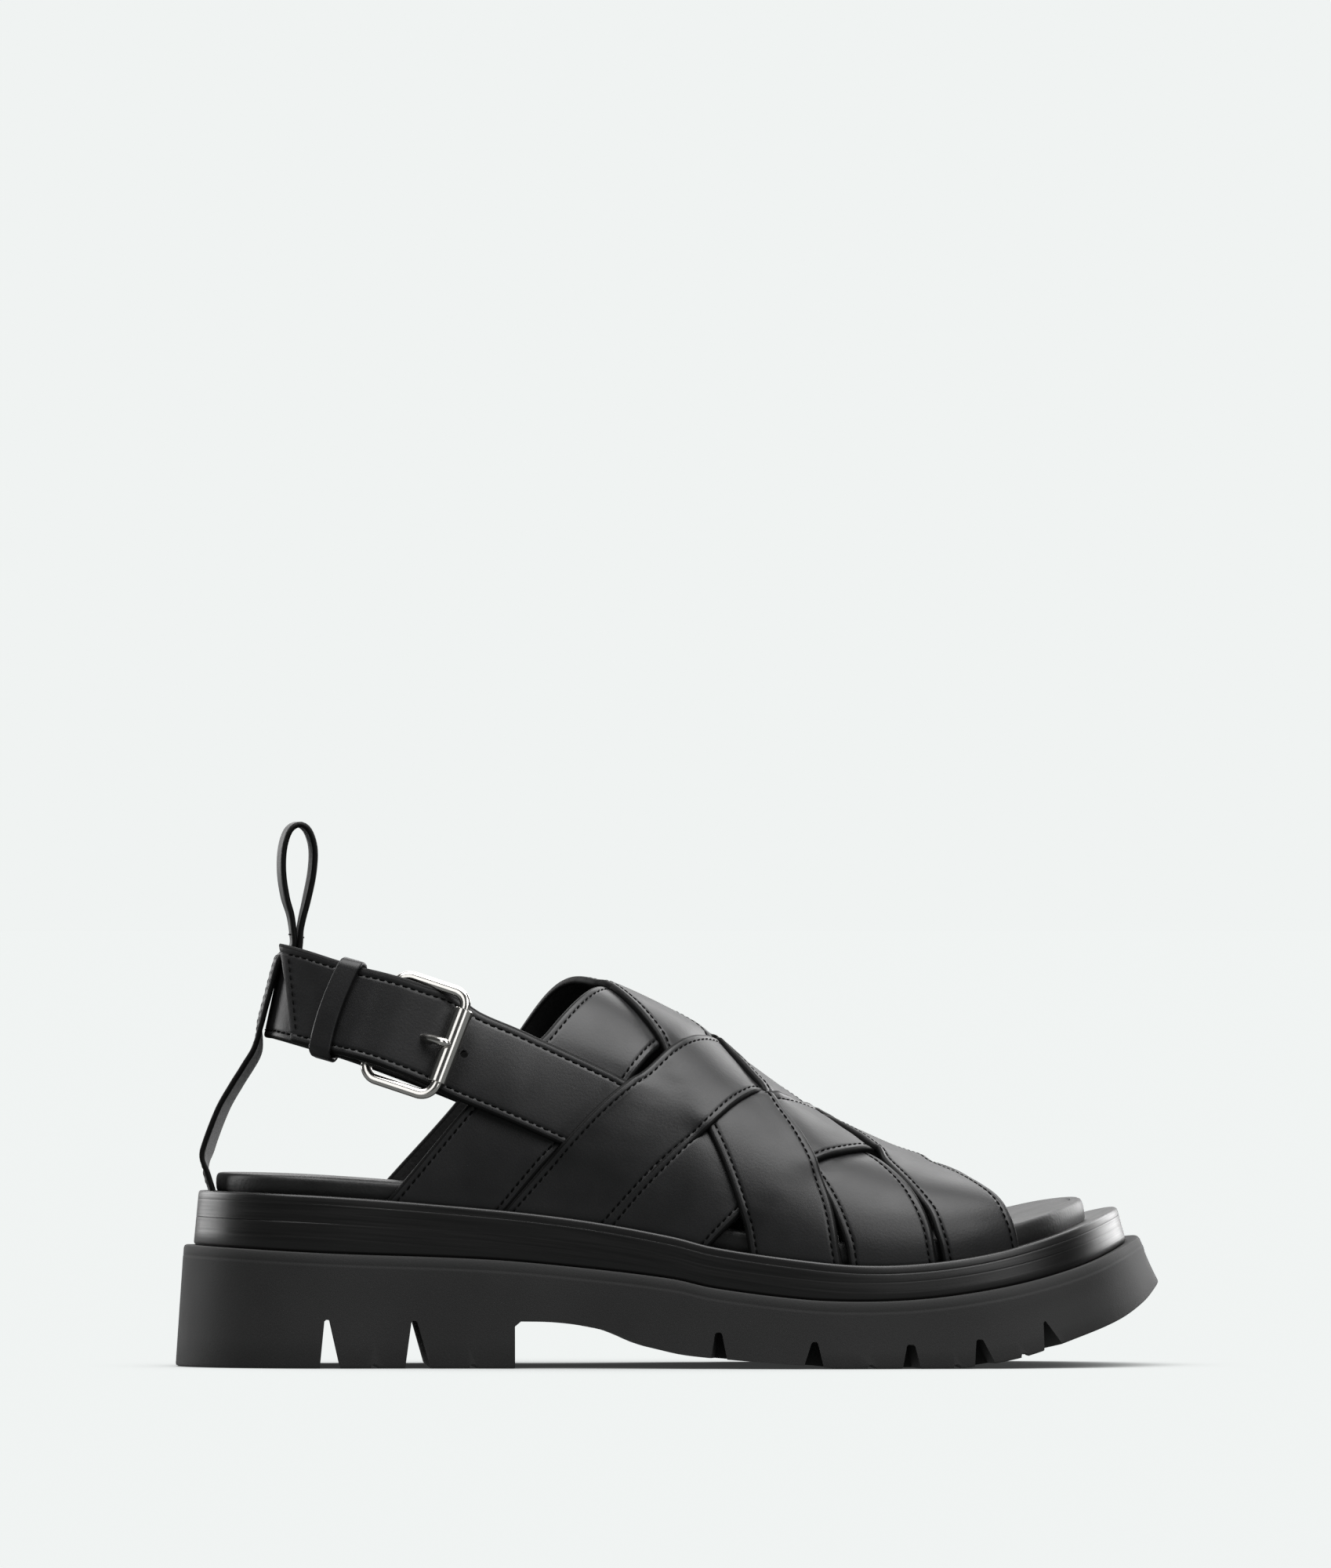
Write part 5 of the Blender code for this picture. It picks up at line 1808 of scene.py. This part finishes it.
# %% Prong
PRONG_HALF = 1.35
PRONG_TIP = (1.3, 1.2, 1.05, 0.75, 0.3)
PRONG_SEAT = 1.1
toward = -frame_ahead
eye = BUCKLE_WIRE / 2 + 0.3 + PRONG_SEAT
rest = big + 0.1 + PRONG_SEAT
path = []
for step in range(13):
    turn = math.radians(-310 + 270 * step / 12)
    path.append(bar + toward * (eye * math.cos(turn)) + frame_out * (eye * math.sin(turn)))
reach = 2 * half_long
# share of the way to the roller, height over the frame's middle
shaft = (
    (0.34, -1.3),
    (0.52, -1.2),
    (0.62, -0.1),
    (0.7, 1.7),
    (0.8, 3.0),
    (0.92, rest),
    (0.99, rest + 0.05),
    (1.04, rest - 0.15),
)
for a, b in shaft:
    path.append(bar + toward * (reach * a) + frame_out * b)
path = smooth_path(path, 60)
sizes = [PRONG_HALF] * (len(path) - len(PRONG_TIP)) + list(PRONG_TIP)
buckle_prong_wire = wire("buckle_prong_wire", path, sizes, frame_up)
settle(buckle_prong_wire, "buckle_metal", "buckle_prong")

# %% [markdown]
# The keeper is a narrow leather band sewn into a ring round both sling straps. It is a
# thin rounded section carried round a flattened loop, bowed a little towards the heel outside.

# %% Keeper
KEEPER_WIDTH = 6.5
KEEPER_WALL = 1.5
KEEPER_BOW = 1.3
KEEPER_EASE = 0.6
FACE_PLAY = 0.35
SIDE_PLAY = 0.7
inner_low = -STRAP_THICKNESS / 2 - FACE_PLAY
inner_high = BILLET_ON_STRAP + STRAP_THICKNESS / 2 + FACE_PLAY
loop_half = SLING_WIDTH / 2 + SIDE_PLAY + KEEPER_WALL / 2
deep_half = (inner_high - inner_low) / 2 + KEEPER_WALL / 2
middle_lift = (inner_low + inner_high) / 2
turn_radius = min(deep_half - 0.05, 2.6)
loop = rounded_rectangle(loop_half, deep_half, turn_radius, 8)
full_loop = []
for row, following in zip(loop, loop[1:] + loop[:1]):
    full_loop.append(row)
    gap = abs(following[0] - row[0])
    if gap > 4:
        for k in range(1, 8):
            share = k / 8
            full_loop.append(tuple(a + (b - a) * share for a, b in zip(row, following)))
keeper_part = sling_part(KEEPER_ALONG)
keeper_section = rounded_rectangle(KEEPER_WIDTH / 2, KEEPER_WALL / 2, KEEPER_EASE, 4)
rings = []
for across, deep, lean_across, lean_out in full_loop:
    clamped = min(max(across, -SLING_WIDTH / 2), SLING_WIDTH / 2)
    ring = []
    bowed = KEEPER_BOW * (1 - (across / loop_half) ** 2) if deep > 0 else 0.0
    for long_off, wall_off, _, _ in keeper_section:
        place, _, up, out = sling_frame(keeper_part + (long_off + bowed) / SLING_LENGTH, clamped)
        place = place + up * (across - clamped + lean_across * wall_off)
        ring.append(place + out * (middle_lift + deep + lean_out * wall_off))
    rings.append(ring)
rings.append(rings[0])
keeper_band = rolled("keeper_band", rings, [smooth_calf])
settle(keeper_band, "strap_leather", "keeper")

# %% [markdown]
# The pull strap is one strip, smooth outside and raw inside. It rises from behind the footbed,
# loops over above the heel strap and comes down inside it, sewn along its edges and across the
# foot of the loop. Its side view is a table of points, and the strap section follows it.

# %% Pull strap
PULL_WIDTH = 17.0
PULL_THICKNESS = 1.75
# place along, height
PULL_PATH = (
    (-138.2, 53.0),
    (-140.2, 60.0),
    (-139.9, 65.5),
    (-135.4, 77.7),
    (-131.0, 85.6),
    (-127.6, 91.0),
    (-125.0, 95.6),
    (-124.1, 99.4),
    (-123.7, 103.4),
    (-122.5, 108.5),
    (-121.1, 113.6),
    (-119.6, 119.4),
    (-118.8, 122.2),
    (-118.0, 124.4),
    (-116.4, 125.7),
    (-114.6, 126.6),
    (-113.5, 128.6),
    (-113.6, 132.0),
    (-114.4, 137.5),
    (-116.0, 143.0),
    (-117.1, 150.6),
    (-116.8, 158.0),
    (-115.0, 163.4),
    (-112.0, 165.2),
    (-109.2, 163.4),
    (-107.5, 158.0),
    (-107.8, 150.6),
    (-109.5, 142.0),
    (-110.7, 137.0),
    (-111.5, 132.8),
    (-111.6, 130.2),
    (-111.9, 127.0),
    (-112.6, 122.0),
    (-113.9, 115.0),
    (-115.6, 107.5),
)
PULL_ROWS = 170
PULL_SEWN = slice(2, 78)
PULL_STITCH_INSET = 1.5
LOOP_FOOT = ((-113.5, 131.2), (-111.5, 131.2))
LOOP_TWIST = 0.035
LOOP_BLEND = (132.0, 14.0)
FOOT_TWIST = -0.23
FOOT_BEGINS = (58.0, 8.0)
FOOT_ENDS = (92.0, 14.0)
line = smooth_path([Vector((x, 0.0, z)) for x, z in PULL_PATH], PULL_ROWS)
base = np.zeros((len(line), STRAP_COLUMNS + 1, 3))
normal = np.zeros_like(base)
for i, place in enumerate(line):
    ahead = line[min(i + 1, len(line) - 1)] - line[max(i - 1, 0)]
    out = ahead.cross(Vector((0.0, 1.0, 0.0))).normalized()
    twist = LOOP_TWIST * ramp(place.z, *LOOP_BLEND)
    twist += FOOT_TWIST * ramp(place.z, *FOOT_BEGINS) * (1 - ramp(place.z, *FOOT_ENDS))
    for k in range(STRAP_COLUMNS + 1):
        off = PULL_WIDTH * (k / STRAP_COLUMNS - 0.5)
        base[i, k] = place + Vector((-twist * off, off, 0.0))
        normal[i, k] = out
height = np.zeros(base.shape[:2])
pull = {"base": base, "normal": normal, "height": height, "width": PULL_WIDTH}
rings, finish = strap_rings(pull, PULL_THICKNESS)
pull_strap_leather = rolled(
    "pull_strap_leather", rings, [smooth_calf, edge_paint, flesh_side], finish
)
settle(pull_strap_leather, "strap_leather", "pull_strap")
loop_rows = []
for x, z in LOOP_FOOT:
    goal = Vector((x, 0.0, z))
    loop_rows.append(min(range(len(line)), key=lambda i: (line[i] - goal).length))
lines = edge_lines(pull, PULL_THICKNESS, PULL_SEWN)
lines += cross_lines(pull, PULL_THICKNESS, PULL_STITCH_INSET, 12, loop_rows)
pull_strap_stitching = sew("pull_strap_stitching", lines)
settle(pull_strap_stitching, "strap_leather")

# %% [markdown]
# The floor is plain and pale. It glows evenly, with a painted shadow where the shoe is near: an
# ambient occlusion node dims its glow there, and it is clear from below. The light is soft:
# softboxes overhead, behind and in front of the toe, a low strip at the heel and one at the toe
# for their bright edges, a pale backdrop, and two panels that only the buckle sees, because
# polished metal shows whatever stands round it.

# %% Floor and light
PALE = linear("#f0f3f2")
FLOOR_SIZE = 60.0
FLOOR_DROP = 0.2 * MM
bpy.ops.object.select_all(action="DESELECT")
bpy.ops.mesh.primitive_plane_add(size=FLOOR_SIZE, location=(0.0, 0.0, -FLOOR_DROP))
floor = bpy.context.object
floor.name = "studio_floor"
finish, tree, shader, place = new_finish("pale_floor")
shader.inputs["Base Color"].default_value = (0.78, 0.80, 0.795, 1.0)
shader.inputs["Roughness"].default_value = 0.9
shader.inputs["Specular IOR Level"].default_value = 0.0
shader.inputs["Emission Color"].default_value = PALE
# Painted shadow: ambient occlusion near the shoe dims the floor's glow that the camera sees.
painted_shadow_ao = add_node(tree, "ShaderNodeAmbientOcclusion", {"Distance": 220 * MM}, samples=16)
glow_with_painted_shadow = add_node(
    tree,
    "ShaderNodeMapRange",
    {"Value": painted_shadow_ao.outputs["AO"], "From Max": 0.9, "To Min": 0.03, "To Max": 0.95},
    interpolation_type="SMOOTHSTEP",
)
rays = add_node(tree, "ShaderNodeLightPath")
bounce = add_node(
    tree,
    "ShaderNodeMix",
    {0: rays.outputs["Is Camera Ray"], 2: 0.2, 3: glow_with_painted_shadow.outputs["Result"]},
)
tree.links.new(bounce.outputs[0], shader.inputs["Emission Strength"])
side = add_node(tree, "ShaderNodeNewGeometry")
clear = add_node(tree, "ShaderNodeBsdfTransparent")
from_below = add_node(
    tree,
    "ShaderNodeMixShader",
    {0: side.outputs["Backfacing"], 1: shader.outputs[0], 2: clear.outputs[0]},
)
tree.links.new(from_below.outputs[0], tree.nodes["Material Output"].inputs["Surface"])
floor.data.materials.append(finish)
floor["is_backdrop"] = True

scene = bpy.context.scene
scene.view_settings.view_transform = "Standard"
world = bpy.data.worlds.new("studio")
scene.world = world
world.use_nodes = True
tree = world.node_tree
tree.nodes.clear()
seen = add_node(tree, "ShaderNodeBackground", {"Color": PALE, "Strength": 1.0})
lit = add_node(tree, "ShaderNodeBackground", {"Color": PALE, "Strength": 0.07})
rays = add_node(tree, "ShaderNodeLightPath")
either = add_node(
    tree,
    "ShaderNodeMixShader",
    {0: rays.outputs["Is Camera Ray"], 1: lit.outputs[0], 2: seen.outputs[0]},
)
add_node(tree, "ShaderNodeOutputWorld", {"Surface": either.outputs[0]})


def softbox(name, location, target, size, power):
    """Rectangular soft light that faces a point on the shoe."""
    turn = (Vector(target) - Vector(location)).to_track_quat("-Z", "Y").to_euler()
    bpy.ops.object.light_add(type="AREA", location=location, rotation=turn)
    light = bpy.context.object
    light.name = name
    light.data.shape = "RECTANGLE"
    light.data.size = size[0]
    light.data.size_y = size[1]
    light.data.energy = power
    return light


lights = [
    softbox("overhead_softbox", (0.0, -0.3, 1.4), (0.0, 0.0, 0.05), (1.8, 1.2), 34.0),
    softbox("back_softbox", (0.2, 1.1, 1.0), (0.0, 0.0, 0.05), (1.8, 0.7), 11.0),
    softbox("toe_softbox", (0.75, -1.1, 0.85), (0.05, 0.0, 0.05), (0.8, 0.6), 6.0),
    softbox("heel_strip", (-1.1, 0.75, 0.45), (-0.1, 0.0, 0.06), (0.9, 0.8), 9.0),
    softbox("toe_strip", (1.05, 0.95, 0.45), (0.1, 0.0, 0.06), (0.7, 0.9), 12.0),
    softbox("pale_backdrop", (0.0, 2.2, 0.8), (0.0, 0.0, 0.1), (4.0, 1.5), 12.0),
]
metal_lights = [
    softbox("left_panel", (-1.1, -1.5, 0.6), (-0.08, 0.0, 0.1), (0.9, 1.4), 6.0),
    softbox("right_panel", (0.8, -1.7, 0.5), (-0.08, 0.0, 0.1), (0.7, 1.4), 5.0),
]
shoe_only = bpy.data.collections.new("lit_by_softboxes")
metal_only = bpy.data.collections.new("lit_by_panels")
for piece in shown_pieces():
    shoe_only.objects.link(piece)
    if piece.name.startswith("buckle") and polished_nickel.name in piece.data.materials:
        metal_only.objects.link(piece)
for light in lights:
    light.light_linking.receiver_collection = shoe_only
for light in metal_lights:
    light.light_linking.receiver_collection = metal_only
print("lights:", [light.name for light in lights + metal_lights])
